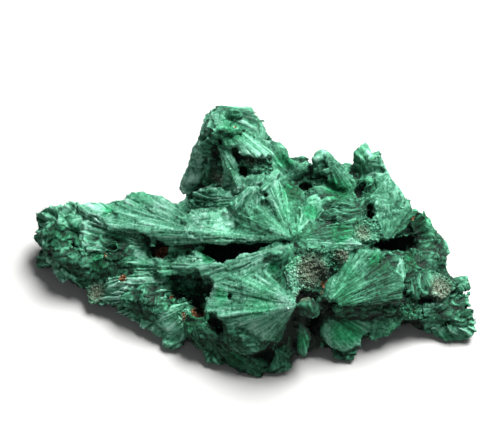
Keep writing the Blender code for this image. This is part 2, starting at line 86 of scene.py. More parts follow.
# Finishes: how layered, how felted and how grainy. What is none of them is silky.
SILK = (0.0, 0.0, 0.0)
LEDGE = (1.0, 0.0, 0.0)
SHEET = (0.5, 0.15, 0.0)
WAVY = (0.85, 0.15, 0.0)
FELT = (0.0, 1.0, 0.0)
FUR = (0.0, 0.5, 0.0)
GRAIN = (0.0, 0.3, 1.0)

# Name, focus, rim points in order, thickness at the rim, finish, tone from 0 (black-green) to 1 (mint), and for
# needles that run nearly side by side the share of their way at which they start. The tone is set sheaf by sheaf.
# It is partly the stone's own colour and partly painted light and shade: darker for the shade under the front lip,
# and paler on faces that turn down or lie in a hollow.
SHEAVES = (
    ("long_left", (6, -6.5, 24.5), ((-23, -1, 14.5), (-25.5, 0.5, 15.5), (-24, 1.5, 17.5),
      (-18.5, 1, 19), (-11, -0.5, 20)), 5, SILK, 0.82),
    ("left_fan", (-9, -2.5, 20), ((-32.5, 3.5, 15), (-34, 7, 16), (-31.5, 9.5, 17), (-28, 11, 19),
      (-23.5, 10.5, 20), (-17.5, 7, 20), (-14.5, 4.5, 20)), 6, SILK, 0.75),
    ("left_plateau", (-8, 9.5, 26), ((-16, 2.5, 20.5), (-14.5, -1.5, 19.5), (-10, -3, 19.5),
      (-5.5, -3.5, 20), (-1.5, -2, 22)), 5, FUR, 1.05, 0.4),
    ("lobe_layers", (-1, 3, 25), ((-14.5, 4, 22), (-15, 5, 22.5), (-14.5, 7, 23.5), (-11.5, 7.5, 24.5),
      (-7.5, 5.5, 26)), 4, LEDGE, 0.75, 0.2),
    ("centre_left_low", (8, -7, 25), ((-4, -5, 20.5), (-6, -3.5, 21), (-4, -1.5, 23), (-1.5, 1, 24)
     ), 4, SILK, 0.6),
    ("upper_left_low", (7.5, -7, 24.5), ((-4, -2.5, 20.5), (-4, -0.5, 22.5), (-3.5, 0.5, 24.5)
     ), 3, SILK, 0.7),
    ("upper_left_high", (7.5, -6.5, 25), ((-3.5, 0, 24.5), (-2, 2, 25.5), (-0.5, 3, 26)), 3, FUR, 0.8),
    ("upper_left_gap", (7.5, -6, 25), ((-1, 2, 25), (1, 4, 25.5), (2.5, 3.5, 26)), 3, SILK, 0.65),
    ("upper_fan", (7.5, -6, 25), ((2, 4, 26.5), (2.5, 6, 27.5), (4, 7, 28.5), (5.5, 6.5, 28),
      (6.5, 4.5, 26.5)), 4, SILK, 0.85, 0.25),
    ("upper_small_fan", (8.5, -6.5, 25), ((6, 5, 26), (8.5, 2, 25.5)), 4, FUR, 0.45),
    ("upper_small_knob", (9, -5, 24), ((8.5, 0.5, 25), (10.5, 1.5, 25.5), (12, -1, 25)), 3, LEDGE, 0.7),
    ("centre_triangle", (9, -6.5, 25), ((11.5, -2, 25), (14.5, -2, 24.5), (17, -3, 24), (20, -4.5, 23.5)
     ), 4, SILK, 0.3),
    ("centre_ridge", (9, -7, 25), ((19.5, -5.5, 24), (23, -6, 22.5), (21.5, -7, 21.5), (16, -7.5, 22)
     ), 4, SILK, 0.85),
    ("hook", (7, 10, 29.5), ((1, 4.5, 28.5), (2, 4, 27.5)), 1.5, SILK, 0.8),
    ("front_upper", (8, -7.5, 25), ((-14.5, -7, 15), (-13, -9, 14), (-8.5, -11, 15),
      (-3.5, -11.5, 17.5), (1.5, -11.5, 20)), 5, SILK, 0.85),
    ("front_upper_tip", (-7, -8.5, 18), ((-17, -4.5, 14.5), (-18.5, -5.5, 13), (-15.5, -7.5, 12.5)
     ), 4, SILK, 0.9),
    ("front_hollow_upper", (7.5, -9, 24), ((0, -10.5, 19), (2, -12.5, 18.5), (6.5, -12.5, 20.5)
     ), 4, SILK, 0.55),
    # Tone raised: painted light on a hollow that lies in shade.
    ("front_hollow_lower", (8, -11.5, 23), ((2.5, -13, 19.5), (6, -18.5, 19.5), (7.5, -18.5, 20.5)
     ), 4, SILK, 0.4),
    ("front_right_strip", (8, -19.5, 20), ((6.5, -14.5, 21), (7, -11.5, 23.5), (9, -10.5, 24.5),
      (9.5, -14, 22)), 4, GRAIN, 0.85),
    ("front_fan_a", (8.5, -20.5, 21), ((2, -11.5, 20), (-2.5, -10.5, 18), (-6.5, -10.5, 16.5),
      (-9, -11, 14)), 6, SILK, 0.8),
    ("front_fan_b", (8.5, -20.5, 21), ((-8.5, -11, 15), (-10.5, -13, 12), (-10.5, -16, 11),
      (-7.5, -17.5, 12)), 6, SILK, 0.9),
    # Tone raised: painted light on a face that turns down and forward into shade.
    ("front_fan_c", (8.5, -21, 21), ((-9, -15, 12), (-8, -18, 12), (-5.5, -20, 11.5),
      (-2.5, -20.5, 11.5), (0.5, -22, 10.5), (2.5, -22.5, 10)), 3, SILK, 0.95),
    ("front_fan_d", (8.5, -20.5, 20), ((2, -22, 10.5), (3.5, -22.5, 9.5), (5, -23, 9)), 3, SILK, 0.75),
    # Tone 0: painted shade on the front wall under the lip.
    ("front_fibres", (7.5, -19.5, 19), ((1.5, -21, 8), (3.5, -22.5, 6), (6, -22, 5.5), (8, -22, 8)
     ), 4, SILK, 0),
    ("front_blade_a", (8.5, -19.5, 18), ((5.5, -22.5, 6), (7, -23, 4), (9, -22, 5)), 5, SILK, 0.45),
    ("front_blade_b", (9, -20, 17.5), ((9, -23, 6), (10.5, -24, 4), (11.5, -23, 6), (12, -20.5, 8.5)
     ), 2.5, SILK, 0.6),
    ("front_low_strip", (-13, -18, 10), ((-14, -19, 7), (-9, -21.5, 3), (-3.5, -24.5, 1.5),
      (1.5, -26, 0.5), (1.5, -24, 4)), 6, SILK, 0.35),
    # Tone below 0: the dark felt painted darker still, as painted shade under the front lip.
    ("front_low_wall", (-1, -18, 7), ((-11, -19.5, 5), (-7.5, -23, 2), (-2, -25, 1), (2.5, -25.5, 0.5),
      (6.5, -24.5, 3)), 5, FELT, -0.2),
    ("front_tuft", (4.5, -23, 7), ((3, -25, 1), (6, -25, 1), (8, -24, 2.5), (7.5, -23, 5)), 4, SHEET, 0.45),
    ("front_left_foot", (-9.5, -21.5, 4), ((-12, -21, 4), (-11.5, -22, 2), (-9, -23.5, 1),
      (-6.5, -23.5, 1.5)), 3, WAVY, 0.45),
    ("grey_flat", (14, -16.5, 18), ((9, -16.5, 20.5), (9.5, -12.5, 24.5), (10.5, -9.5, 25.5),
      (14, -9.5, 25.5), (16, -12, 24), (15, -15.5, 21)), 5, GRAIN, 0.2),
    ("grey_patch_right", (15.5, -12, 18), ((13.5, -9.5, 24.5), (17, -8.5, 24.5), (20.5, -8.5, 23),
      (19.5, -10.5, 21.5), (17, -11.5, 20)), 5, GRAIN, 0.5),
    ("right_low_fan_a", (15, -17, 16), ((17, -10, 19.5), (20.5, -7.5, 20.5), (24, -6.5, 20.5),
      (27.5, -6.5, 19.5)), 6, SILK, 0.65),
    ("right_low_fan_b", (15.5, -17, 16), ((26.5, -6.5, 19.5), (29, -8, 18.5), (30.5, -10.5, 17)
     ), 6, SILK, 0.48),
    ("right_low_fan_c", (16.5, -17.5, 15.5), ((30, -9.5, 17.5), (31.5, -12.5, 15.5), (31, -15.5, 13.5)
     ), 6, SILK, 0.4),
    ("right_low_gap", (25.5, -4, 19), ((17, -9.5, 20), (17.5, -7.5, 21.5), (21.5, -6, 21.5)), 4, FELT, 0.3),
    ("right_low_skirt", (16, -17, 14), ((31.5, -14, 13), (31, -16, 10.5), (26.5, -16, 9), (20.5, -16, 9)
     ), 4, FELT, 0.22),
    ("right_low_lobe", (9, -13, 16), ((15.5, -19.5, 4), (18, -21, 3.5), (21, -21, 4), (24, -19, 5),
      (25, -16.5, 8)), 5, SILK, 0.85, 0.42),
    ("right_low_lobe_left", (14.5, -14.5, 11), ((12.5, -17, 6.5), (12.5, -18.5, 4.5), (14.5, -19.5, 3.5)
     ), 4, FELT, 0.45),
    ("right_low_lobe_foot", (19.5, -18, 6), ((16.5, -20, 2.5), (18, -21.5, 1), (21.5, -22, 1),
      (23, -19.5, 2.5)), 4, FELT, 0.15),
    ("right_low_tuft", (26.5, -14.5, 11.5), ((24, -17.5, 5), (25, -19, 3), (28, -18, 4),
      (30, -17.5, 4.5), (33, -15, 6), (32.5, -14, 8.5)), 4, FUR, 0.75),
    ("right_fan_a", (28, -4, 20.5), ((25, 0, 22.5), (25.5, 4.5, 24.5), (26, 8, 26.5), (27, 9, 27.5),
      (29, 9, 27)), 6, FUR, 0.7),
    ("right_fan_b", (28, -4, 20.5), ((29, 9, 27), (31, 7, 25.5), (33, 5, 24)), 6, FUR, 0.75),
    ("right_fan_c", (27.5, -4.5, 20.5), ((32.5, 5.5, 24), (35, 4, 22.5), (36, 3.5, 21.5), (34, 1, 20.5),
      (32, -1, 19.5)), 6, SILK, 0.65),
    ("right_shoulder", (30.5, -2.5, 17), ((35, 4, 21), (37, 4.5, 20.5), (38.5, 3, 17.5),
      (40, 1.5, 15.5), (38.5, -1, 15)), 5, WAVY, 0.45),
    ("right_dark_lump", (32.5, -2.5, 17.5), ((31, -1, 19.5), (33.5, 1, 21), (35.5, 1, 20), (37, -1, 18)
     ), 4, FELT, 0.25),
    ("right_edge_a", (34, -1, 15.5), ((40, 2, 15.5), (41.5, 1, 13.5), (42.5, -3, 11.5),
      (40.5, -4.5, 11.5)), 5, SILK, 0.4),
    ("right_edge_b", (35, -1.5, 14), ((42.5, -3, 11.5), (43.5, -4.5, 9.5), (45, -6, 8.5),
      (42, -7.5, 9.5)), 5, SILK, 0.4),
    ("right_face", (33.5, -2, 16.5), ((31, -6.5, 16.5), (32, -10, 13.5), (34.5, -12.5, 12),
      (38.5, -10.5, 11.5), (40, -6, 12)), 5, WAVY, 0.3),
    ("right_blade", (32, -5.5, 18), ((31, -8.5, 17), (32, -11, 15.5), (33, -9.5, 15.5)), 2, SILK, 0.95),
    ("pink_shoulder", (39, -6, 13), ((35.5, -10.5, 11.5), (38.5, -12, 10), (42.5, -10.5, 9.5),
      (46, -7, 9)), 4, GRAIN, 0.5),
    ("foot_a", (35.5, -11, 9.5), ((45, -8, 8.5), (47, -6, 7.5), (48, -8.5, 5.5), (48.5, -12, 4.5),
      (45.5, -13, 5.5)), 5, WAVY, 0.7),
    ("foot_b", (35.5, -11, 8.5), ((48, -10.5, 5), (49.5, -15, 3), (48, -16.5, 2), (44.5, -16, 3)
     ), 5, WAVY, 0.7),
    ("foot_c", (35, -11, 7.5), ((47.5, -16.5, 2), (47, -17, 1), (42.5, -17, 0.5), (39, -15, 2),
      (37.5, -13, 3.5)), 5, SILK, 0.6),
    ("brown_bank", (35.5, -11, 11), ((30.5, -13.5, 12), (30.5, -15.5, 9), (33.5, -15, 7), (36.5, -14, 6)
     ), 4, GRAIN, 0.35),
    ("lobe_left_face", (-10.5, 17.5, 37.5), ((-16.5, 12.5, 20), (-16.5, 10, 19.5), (-13, 9.5, 21.5),
      (-9.5, 8.5, 24), (-5.5, 7, 27)), 6, FELT, 1),
    ("lobe_ridge", (-10, 16, 38), ((-7, 9, 30.5), (-5, 6.5, 28), (-3.5, 5, 26.5), (-3, 7, 28.5),
      (-4.5, 10, 31.5)), 3, SILK, 0.7),
    ("lobe_top", (-7, 13.5, 36), ((-10.5, 14, 37), (-11.5, 16.5, 38), (-9.5, 18.5, 39), (-7, 18.5, 39),
      (-4.5, 17.5, 39), (-2.5, 16.5, 38.5)), 5, FELT, 0.8),
    ("lobe_right", (-10.5, 18.5, 40), ((-6.5, 11, 34.5), (-4, 10, 33), (-1, 9.5, 33), (2, 9, 32.5),
      (4, 11, 32), (4.5, 13.5, 33.5), (3.5, 16, 36), (1.5, 17, 38), (-1, 18.5, 39)), 6, SILK, 0.85, 0.2),
    ("lobe_pit_rim", (-1.5, 13.5, 31.5), ((-5.5, 11, 31), (-4.5, 9, 30), (-1, 8.5, 30),
      (2.5, 9.5, 29.5), (3, 11.5, 30.5)), 4, GRAIN, 0.3),
    ("lobe_lump", (-1, 4.5, 24), ((-5, 5.5, 26), (-3.5, 7, 28), (-1, 7.5, 28.5), (2, 6.5, 28),
      (2.5, 4.5, 26.5)), 4, FELT, 0.55),
    ("lobe_lump_foot", (0.5, 6.5, 28.5), ((-5.5, 3, 24.5), (-3.5, 1.5, 24), (-1, 2, 24.5),
      (2.5, 2, 25.5)), 4, LEDGE, 0.65, 0.3),
    ("lobe_roll", (-9.5, 6.5, 22), ((-14.5, 9, 20), (-14, 10.5, 21.5), (-10, 10, 24), (-5.5, 7.5, 26)
     ), 4, FELT, 0.3),
    ("crag_a", (8, 9, 27), ((3.5, 11, 30), (3, 13.5, 32), (5.5, 13.5, 32), (7, 11.5, 31)), 5, SILK, 0.6),
    ("crag_b", (9.5, 8, 27), ((6.5, 11, 30.5), (8, 10.5, 30), (9.5, 10.5, 29.5)), 2.5, SILK, 0.6),
    ("crag_c", (6, 8, 27), ((9.5, 8.5, 27), (11, 9, 27.5), (11.5, 9.5, 28.5), (11.5, 10.5, 29.5),
      (10.5, 10.5, 30), (9, 10.5, 29)), 2, SILK, 0.75),
    ("green_face", (9.5, 10, 26.5), ((6, 7, 27), (6.5, 3, 26), (8.5, 2, 25.5), (10, 4, 25)), 4, FUR, 0.35),
    ("cavity_floor", (12.5, 12.5, 23), ((9, 9, 23.5), (10, 4.5, 24.5), (12.5, 4, 24.5), (16, 6.5, 24)
     ), 3, GRAIN, 0.2),
    ("peak_a", (15, 7, 27), ((12.5, 9.5, 28), (12.5, 11, 30), (14, 11.5, 31), (15.5, 11.5, 31),
      (17, 10, 30)), 4, FELT, 0.65),
    ("peak_b", (15.5, 11.5, 31.5), ((16, 7, 26.5), (19, 6, 26), (21.5, 6.5, 25.5), (21.5, 8.5, 27),
      (19.5, 10.5, 29), (17.5, 10.5, 30.5)), 5, SILK, 0.55, 0.1),
    ("middle_trough", (22, 5, 25), ((14, 6, 24.5), (14.5, 8.5, 25.5), (16.5, 9, 26.5), (19.5, 8, 26)
     ), 4, SILK, 0.5),
    ("middle_knob", (12.5, -2.5, 25), ((10, 0.5, 25.5), (10.5, 2.5, 26), (12, 4, 26.5), (14, 3.5, 26.5),
      (15, 1, 25.5)), 4, FUR, 0.85),
    ("middle_ledge_a", (11, -0.5, 25), ((15.5, -1.5, 24.5), (20.5, -0.5, 24), (23, 2, 24.5),
      (20.5, 4.5, 25), (15.5, 3.5, 25.5)), 4, WAVY, 0.38),
    ("middle_ledge_b", (10, -4.5, 24.5), ((16, -4.5, 24), (19.5, -3.5, 23.5), (22, -1, 24),
      (18, 1, 24.5)), 4, WAVY, 0.38),
    ("middle_green", (11.5, -6, 25), ((16.5, -6.5, 24), (20.5, -5, 23.5), (20.5, -3, 23.5)), 3, SILK, 0.45),
    ("right_knob_a", (24.5, 8, 24), ((22, 11.5, 27), (21.5, 12.5, 29), (22, 13.5, 31), (24, 14, 31),
      (25, 12, 29.5)), 4, WAVY, 0.8),
    ("right_knob_b", (27.5, 8, 24), ((24, 10.5, 27.5), (25, 12, 30.5), (27, 12, 30.5), (28, 11, 29),
      (29, 9, 27)), 4, FELT, 0.75),
    ("right_knob_c", (23, 3.5, 23), ((20, 6.5, 25), (20.5, 9, 26.5), (23, 9, 27), (26, 8, 26.5),
      (26, 5, 25)), 4, FELT, 0.55),
    ("right_knob_low", (23.5, -1.5, 23), ((20.5, 1, 24), (21, 4, 24.5), (24, 5, 25), (26.5, 3.5, 24.5)
     ), 4, LEDGE, 0.55),
    ("grain_bank", (28, -4, 20.5), ((20.5, -5.5, 22.5), (20.5, -2.5, 23.5), (23, 0, 24),
      (26.5, 0.5, 23.5)), 4, GRAIN, 0.5),
    ("arm_ridge", (-23.5, 2, 16), ((-38.5, 8, 14), (-40.5, 10, 15), (-38, 11.5, 15), (-35, 11, 15),
      (-33, 8, 15)), 6, WAVY, 0.8),
    ("arm_back", (-25.5, 4, 15), ((-36, 10, 14), (-34, 11.5, 15), (-30.5, 11, 16), (-28, 10.5, 17),
      (-28.5, 6.5, 17)), 6, SILK, 0.8),
    ("arm_tip_top", (-36.5, 4, 12), ((-44.5, 7, 13), (-44.5, 11, 14), (-42, 12, 15), (-39, 11, 15),
      (-37.5, 8.5, 14)), 6, WAVY, 0.85),
    ("arm_tip", (-41, 4, 11), ((-50, 7, 9), (-51, 9.5, 9), (-49.5, 11.5, 12), (-46.5, 11.5, 14),
      (-44, 10.5, 14)), 6, WAVY, 0.75),
    ("arm_middle", (-20.5, -0.5, 14), ((-36.5, 0, 12), (-39.5, 4, 12), (-38.5, 6.5, 14), (-34, 6, 15),
      (-29, 4, 16)), 6, WAVY, 0.95),
    ("arm_face", (-23.5, -1.5, 13), ((-38.5, -2.5, 8), (-41.5, -1, 9), (-39.5, 1.5, 11), (-35.5, 2, 12)
     ), 6, WAVY, 1.1),
    ("arm_rim", (-38.5, 0.5, 9), ((-44, -2.5, 4), (-46.5, 1, 5), (-48.5, 5.5, 7), (-47.5, 7, 9),
      (-43.5, 5, 11)), 6, WAVY, 0.85),
    ("arm_rim_low", (-36, 1, 8), ((-40.5, -3, 4), (-44, -2.5, 4), (-45.5, 0, 6), (-43, 0.5, 9)
     ), 6, WAVY, 0.85),
    ("arm_face_low", (-21, -1.5, 12), ((-32.5, -4, 8), (-38.5, -3, 7), (-38, -0.5, 10), (-32.5, 0, 12)
     ), 6, WAVY, 1.05),
    ("grain_face", (-30.5, -5.5, 8), ((-34, -9, 3), (-37, -8.5, 3), (-38.5, -5, 4), (-37.5, -2.5, 6),
      (-34, -3, 7)), 5, GRAIN, 0.55),
    ("pale_bank", (-19.5, -6.5, 10), ((-30, -8.5, 5), (-33.5, -6.5, 7), (-30.5, -4, 9), (-23.5, -4, 11)
     ), 5, WAVY, 1.1),
    ("pale_low", (-23.5, -9.5, 8), ((-30.5, -9.5, 4), (-34.5, -9, 4), (-33.5, -6.5, 6), (-28.5, -6.5, 8)
     ), 5, WAVY, 1.05),
    ("hole_rim", (-19.5, -5.5, 12), ((-28.5, -2.5, 11), (-27.5, 0, 12), (-23, 0.5, 13),
      (-21.5, -3.5, 13)), 5, WAVY, 0.95),
    ("cavity_bank", (-9.5, -6.5, 15), ((-21.5, -7, 10.5), (-21.5, -4, 13), (-17, -4, 15),
      (-12.5, -6, 16)), 5, SHEET, 0.85, 0.2),
    ("slot_mound", (-9.5, -5.5, 15), ((-15.5, -4.5, 14), (-14, -3.5, 16), (-11, -3.5, 17),
      (-7.5, -6, 17)), 4, FELT, 0.55),
    ("low_left_a", (-11, -9, 13), ((-27.5, -13.5, 2.5), (-31.5, -11, 2.5), (-31, -9, 4.5), (-26, -9, 8)
     ), 5, WAVY, 0.95, 0.58),
    ("low_left_b", (-9.5, -10.5, 14), ((-20, -16.5, 2.5), (-24, -15, 2.5), (-27.5, -12.5, 4),
      (-24, -10.5, 7.5)), 5, WAVY, 0.95, 0.66),
    ("low_left_c", (-8.5, -12.5, 14), ((-14, -18, 4), (-18.5, -17, 3.5), (-21.5, -15, 5),
      (-18.5, -13, 8.5)), 5, SILK, 0.95, 0.6),
    ("low_left_foot", (-14.5, -16, 7), ((-17, -19, 1), (-19.5, -19, 1), (-21, -16.5, 2), (-19.5, -15, 4)
     ), 5, WAVY, 0.8),
    ("cavity_tongue", (-19.5, -10, 8), ((-18.5, -9.5, 9), (-14.5, -11, 8), (-14.5, -12, 7),
      (-18.5, -12, 7)), 2, SILK, 0.95),
    ("cavity_lip", (-10.5, -18.5, 10), ((-11, -11.5, 12), (-11, -15, 10), (-12.5, -16.5, 9)), 4, FELT, 0.5),
    ("back_lobe_high", (-5, 13, 20), ((-12.5, 16, 28), (-10.5, 17, 35), (-6, 17.5, 37), (-1, 16.5, 35)), 5, FELT, 0.5),
    ("back_lobe", (-5, 15, 20), ((-15, 18, 17), (-12, 24, 16), (-5, 27, 15), (2, 25, 17)), 6, SILK, 0.55),
    ("back_crag", (9, 10, 22), ((3, 18, 25), (8, 19.5, 20), (14, 18, 20)), 5, SILK, 0.6),
    ("back_middle", (10, 12, 19), ((2, 24, 14), (9, 25.5, 12), (16, 24, 13), (19, 19, 18)), 6, SILK, 0.6),
    ("back_knob", (25, 8, 19), ((19, 18, 20), (24, 20, 18), (29, 18, 19), (31, 14, 20)), 6, FELT, 0.55),
    ("back_right", (27, 6, 16), ((21, 22, 11), (28, 22, 8), (34, 18, 10), (36, 13, 14)), 6, SILK, 0.6),
    ("back_end", (34, 0, 12), ((38, 10, 14), (42, 7, 10), (44, 2, 8), (43, -2, 8)), 5, FELT, 0.55),
    ("back_arm", (-24, 6, 14), ((-38, 11.5, 11), (-32, 14.5, 9), (-24, 16, 10), (-17, 12.5, 12)), 5, SILK, 0.6),
    ("back_notch", (-18, 8, 14), ((-20, 11, 14), (-17, 13, 12), (-13, 17, 10)), 5, SILK, 0.6),
)

# Name, middle, half sizes, how many small tufts grow out of its hidden side, and finish.
LUMPS = (
    ("centre", (9, -2, 8.5), (22, 15, 10), 34, FELT),
    ("centre_high", (7, -7, 17), (7, 5, 6), 0, FELT),
    ("left_arm", (-29, 3, 6.8), (17, 8, 6.2), 26, FELT),
    ("right", (29, -1, 8), (13, 12, 9), 26, FELT),
    ("tall_lobe", (-6, 13, 16), (7.5, 6, 16), 26, FELT),
    ("back", (11, 13, 10.5), (18, 9.5, 11.5), 34, FELT),
    ("front", (-1, -15, 6), (10, 7.5, 7), 8, FELT),
    ("right_front", (24, -10, 6), (9, 6, 6.6), 8, FELT),
    ("foot", (40.5, -10, 3.8), (6.5, 5, 4), 8, FELT),
    ("low_left", (-20, -8, 4.5), (10, 6, 4.6), 12, FELT),
    ("front_left", (-11, -15, 4.5), (4.5, 5, 5), 0, FELT),
    ("lobe_right_mass", (0.5, 14, 22), (4.5, 3.6, 10), 0, FELT),
    ("tip", (-43.5, 6, 8), (5, 4.5, 4.5), 14, FELT),
    ("pale_ball", (11.3, -19.6, 18.6), (2.2, 1.8, 2), 0, FELT),
)

# Name, middle, half sizes, and how many times over, each time deeper: the pits, holes and slots.
HOLLOWS = (
    ("main_cavity_left", (-17, -9, 11.5), (2.8, 2, 6), 1),
    ("main_cavity", (-14, -10, 11.5), (3.4, 3, 6.5), 1),
    ("main_cavity_low", (-12.5, -13, 9), (2.2, 3.2, 4.5), 1),
    ("side_cavity", (-10, -11.5, 12.5), (0.8, 1.4, 2), 2),
    ("slot_left", (-8, -5.5, 18.5), (4, 1.8, 3.2), 3),
    ("slot_middle", (-5, -6, 19.5), (4.2, 1.7, 3), 3),
    ("slot_right", (-2.5, -6.5, 21), (3, 0.7, 1.8), 3),
    ("slot_end", (1, -6.5, 22.5), (3.2, 0.35, 1.2), 3),
    ("slot_low", (-7, -6, 17.5), (3, 1.7, 2.8), 3),
    ("centre_crack", (6, -7.5, 25), (2.2, 0.4, 1.2), 3),
    ("arm_hole", (-21, -0.5, 13.5), (2, 1.8, 2.8), 1),
    ("lobe_pit", (-1, 8, 31), (3.6, 1.6, 2.2), 1),
    ("lobe_pit_deep", (-2.5, 8.5, 29.5), (1.2, 0.9, 1.6), 2),
    ("lobe_dimple", (-7.5, 12.5, 34.5), (0.4, 0.5, 0.8), 2),
    ("lobe_roll_hollow", (-9.5, 7.5, 25), (3.2, 0.8, 1), 1),
    ("lobe_foot_hole", (-14, 6.5, 21.5), (0.7, 1, 2), 3),
    ("hook_shadow", (2, 3.5, 27.5), (1.1, 0.5, 1), 2),
    ("crag_cavity", (12.5, 8, 27), (3.2, 1.5, 1.8), 1),
    ("crag_cavity_low", (11, 7, 25.5), (1.6, 0.8, 1.2), 2),
    ("knob_hole", (22.5, 5.5, 26), (0.8, 0.6, 1.2), 3),
    ("knob_gap", (23.5, 6.5, 27), (0.6, 0.5, 0.9), 3),
    ("knob_notch_a", (23, 8.5, 31.5), (0.5, 0.7, 1.4), 2),
    ("knob_notch_b", (26, 7.5, 30), (1.6, 0.4, 1.1), 2),
    ("fan_hole", (25, 1, 25), (0.8, 1.2, 2.4), 3),
    ("ledge_slot_a", (18.5, 2, 25), (2.4, 0.3, 0.6), 2),
    ("ledge_slot_b", (17, -1.5, 24.5), (2, 0.3, 0.6), 2),
    ("right_gap", (28, -5, 20.5), (3.4, 0.7, 2.6), 4),
    ("right_gap_end", (32, -4, 19.5), (4, 0.9, 2.6), 3),
    ("right_cavity", (38, -12, 10), (3, 0.9, 1.5), 2),
    ("foot_slot_a", (42.5, -14.5, 4.5), (0.8, 0.45, 1), 2),
    ("foot_slot_b", (42.5, -16.5, 3), (0.8, 0.4, 0.9), 1),
    ("foot_slot_c", (47.5, -11, 5.5), (1.1, 0.4, 1), 2),
    ("patch_gap", (12.5, -18, 10), (2, 3, 5), 1),
    ("niche", (-5.5, -14, 14), (0.5, 1, 1.8), 2),
    ("lip_hollow_a", (-8, -17.5, 9.5), (2.6, 0.8, 1.2), 1),
    ("lip_hollow_b", (-5.5, -18.5, 8.5), (2.8, 1.3, 1.6), 2),
    ("lip_hollow_c", (-2.5, -19.5, 7.5), (2.8, 1.3, 1.6), 2),
    ("lip_hollow_d", (0.5, -20.5, 6.5), (2.4, 1.2, 1.4), 2),
    ("blade_gap", (8.5, -22, 8), (0.5, 1.2, 2.4), 1),
    ("tip_pit", (-41, 2, 11), (1, 0.9, 1.5), 2),
    ("tip_dent", (-43.5, 7, 13), (0.4, 0.4, 0.9), 2),
    ("arm_slit_a", (-32, 2, 13.5), (3, 0.3, 0.9), 1),
    ("arm_slit_b", (-32.5, 0.5, 12.5), (1.6, 0.3, 0.9), 2),
    ("arm_trough", (-32, 6, 16.5), (1.3, 1, 0.9), 1),
    ("bank_hole", (-26, -10, 7), (0.5, 0.6, 1.2), 2),
    ("bank_slit", (-30, -2, 10.5), (2.4, 0.3, 0.8), 1),
)

SHOWN_SIDE = np.array((0.0, -0.6, 0.8))
SHOWN_LIMIT = 0.1
TUFT_LIFT = 1.1
TUFT_THICKNESS = 3.2

# Middle and radius of each spot of brown iron oxide, of each grey, dusty patch, and of each spot of deep green.
RUST = (((-20.5, -0.5, 11), 3.4), ((-15.5, -14, 7), 2.4), ((-13, -13.5, 6), 3.4),
      ((-18.5, -9.5, 7), 1.2), ((15, -15, 20), 2), ((15, -16.5, 18.5), 2.1), ((-41, 1.5, 10), 1.6),
      ((-33.5, -1, 12), 1.3), ((-29.5, -5.5, 9), 1.5), ((-24.5, -10.5, 7.5), 2), ((34.5, 2, 21), 1),
      ((38, -0.5, 18), 1.4), ((-4.5, 15, 36), 0.9), ((34.5, -13, 8), 1.6), ((-40, -1.5, 9), 0.9))
DUST = (((12, -13.5, 23), 4.6), ((10, -18, 20), 2), ((18.5, -9.5, 23), 2.4),
      ((40.5, -9.5, 10.5), 3.8), ((23.5, -3.5, 23.5), 2.6), ((-1, 11.5, 31), 2.5),
      ((-36, -6.5, 5), 3), ((-8.5, 8, 27), 2), ((1, -20.5, 5), 2.6))
VIVID = (((-43, 0.5, 9), 1.6), ((-7, -13, 13.5), 2.4), ((18, -4, 23.5), 3),
      ((17.5, 6.5, 25.5), 3.5), ((4, -10, 20), 2.6), ((5, -14.5, 18.5), 2.2), ((19.5, -17, 6), 4.5),
      ((26.5, -8.5, 19), 3), ((8, 5.5, 26.5), 2.6), ((34, -5.5, 15), 3), ((-33, 8, 15), 2),
      ((-10, -4.5, 15.5), 2.2), ((9.5, -21.5, 9), 2.6), ((-4.5, -22.5, 3), 3), ((6, 10.5, 30.5), 3),
      ((12, 0.5, 25), 2), ((-35, -1, 9), 3))

MAP_LOW = np.array((-60.0, -40.0))
MAP_HIGH = np.array((60.0, 40.0))
MAP_CELL = 0.5

# The body under the sheaves: cell and sink in mm, the ball's radius in cells, and a height below all others.
BED_CELL = 1.0
BED_SINK = 0.6
BED_RETREAT = 2
BED_FLANK = 4.0
BED_FLANK_REACH = 12
BED_BALL = 3
BED_DEEP = 50


def smooth_noise(seed, *axes):
    """Random heights from -1 to 1 on whole numbers of each axis, blended smoothly between them."""
    table = np.random.default_rng(seed).uniform(-1, 1, (NOISE_PERIOD,) * len(axes))
    low = [np.floor(axis).astype(int) for axis in axes]
    share = [axis - floor for axis, floor in zip(axes, low)]
    share = [s * s * (3 - 2 * s) for s in share]
    total = 0.0
    for corner in np.ndindex(*(2,) * len(axes)):
        weight = 1.0
        for bit, s in zip(corner, share):
            weight = weight * (s if bit else 1 - s)
        total = total + weight * table[tuple((floor + bit) % NOISE_PERIOD for floor, bit in zip(low, corner))]
    return total


def noise_at(seed, points, size):
    """Smooth noise in space whose knots are a size apart, for an array of points."""
    return smooth_noise(seed, *(points[..., k] / size + 50 for k in range(3)))


def spline(points, shares):
    """A smooth curve through the points: each stretch is a cubic that leans along its neighbours' chord."""
    points = np.array(points, float)
    ends = np.vstack([2 * points[0] - points[1], points, 2 * points[-1] - points[-2]])
    along = np.clip(shares, 0, 1) * (len(points) - 1)
    stretch = np.minimum(along.astype(int), len(points) - 2)
    t = (along - stretch)[..., None]
    before, start, end, after = (ends[stretch + k] for k in range(4))
    lean_in = (end - before) / 2
    lean_out = (after - start) / 2
    return (
        (2 * t**3 - 3 * t**2 + 1) * start
        + (t**3 - 2 * t**2 + t) * lean_in
        + (3 * t**2 - 2 * t**3) * end
        + (t**3 - t**2) * lean_out
    )


def unit(vectors):
    """The vectors at length 1."""
    return vectors / np.maximum(np.linalg.norm(vectors, axis=-1, keepdims=True), 1e-9)


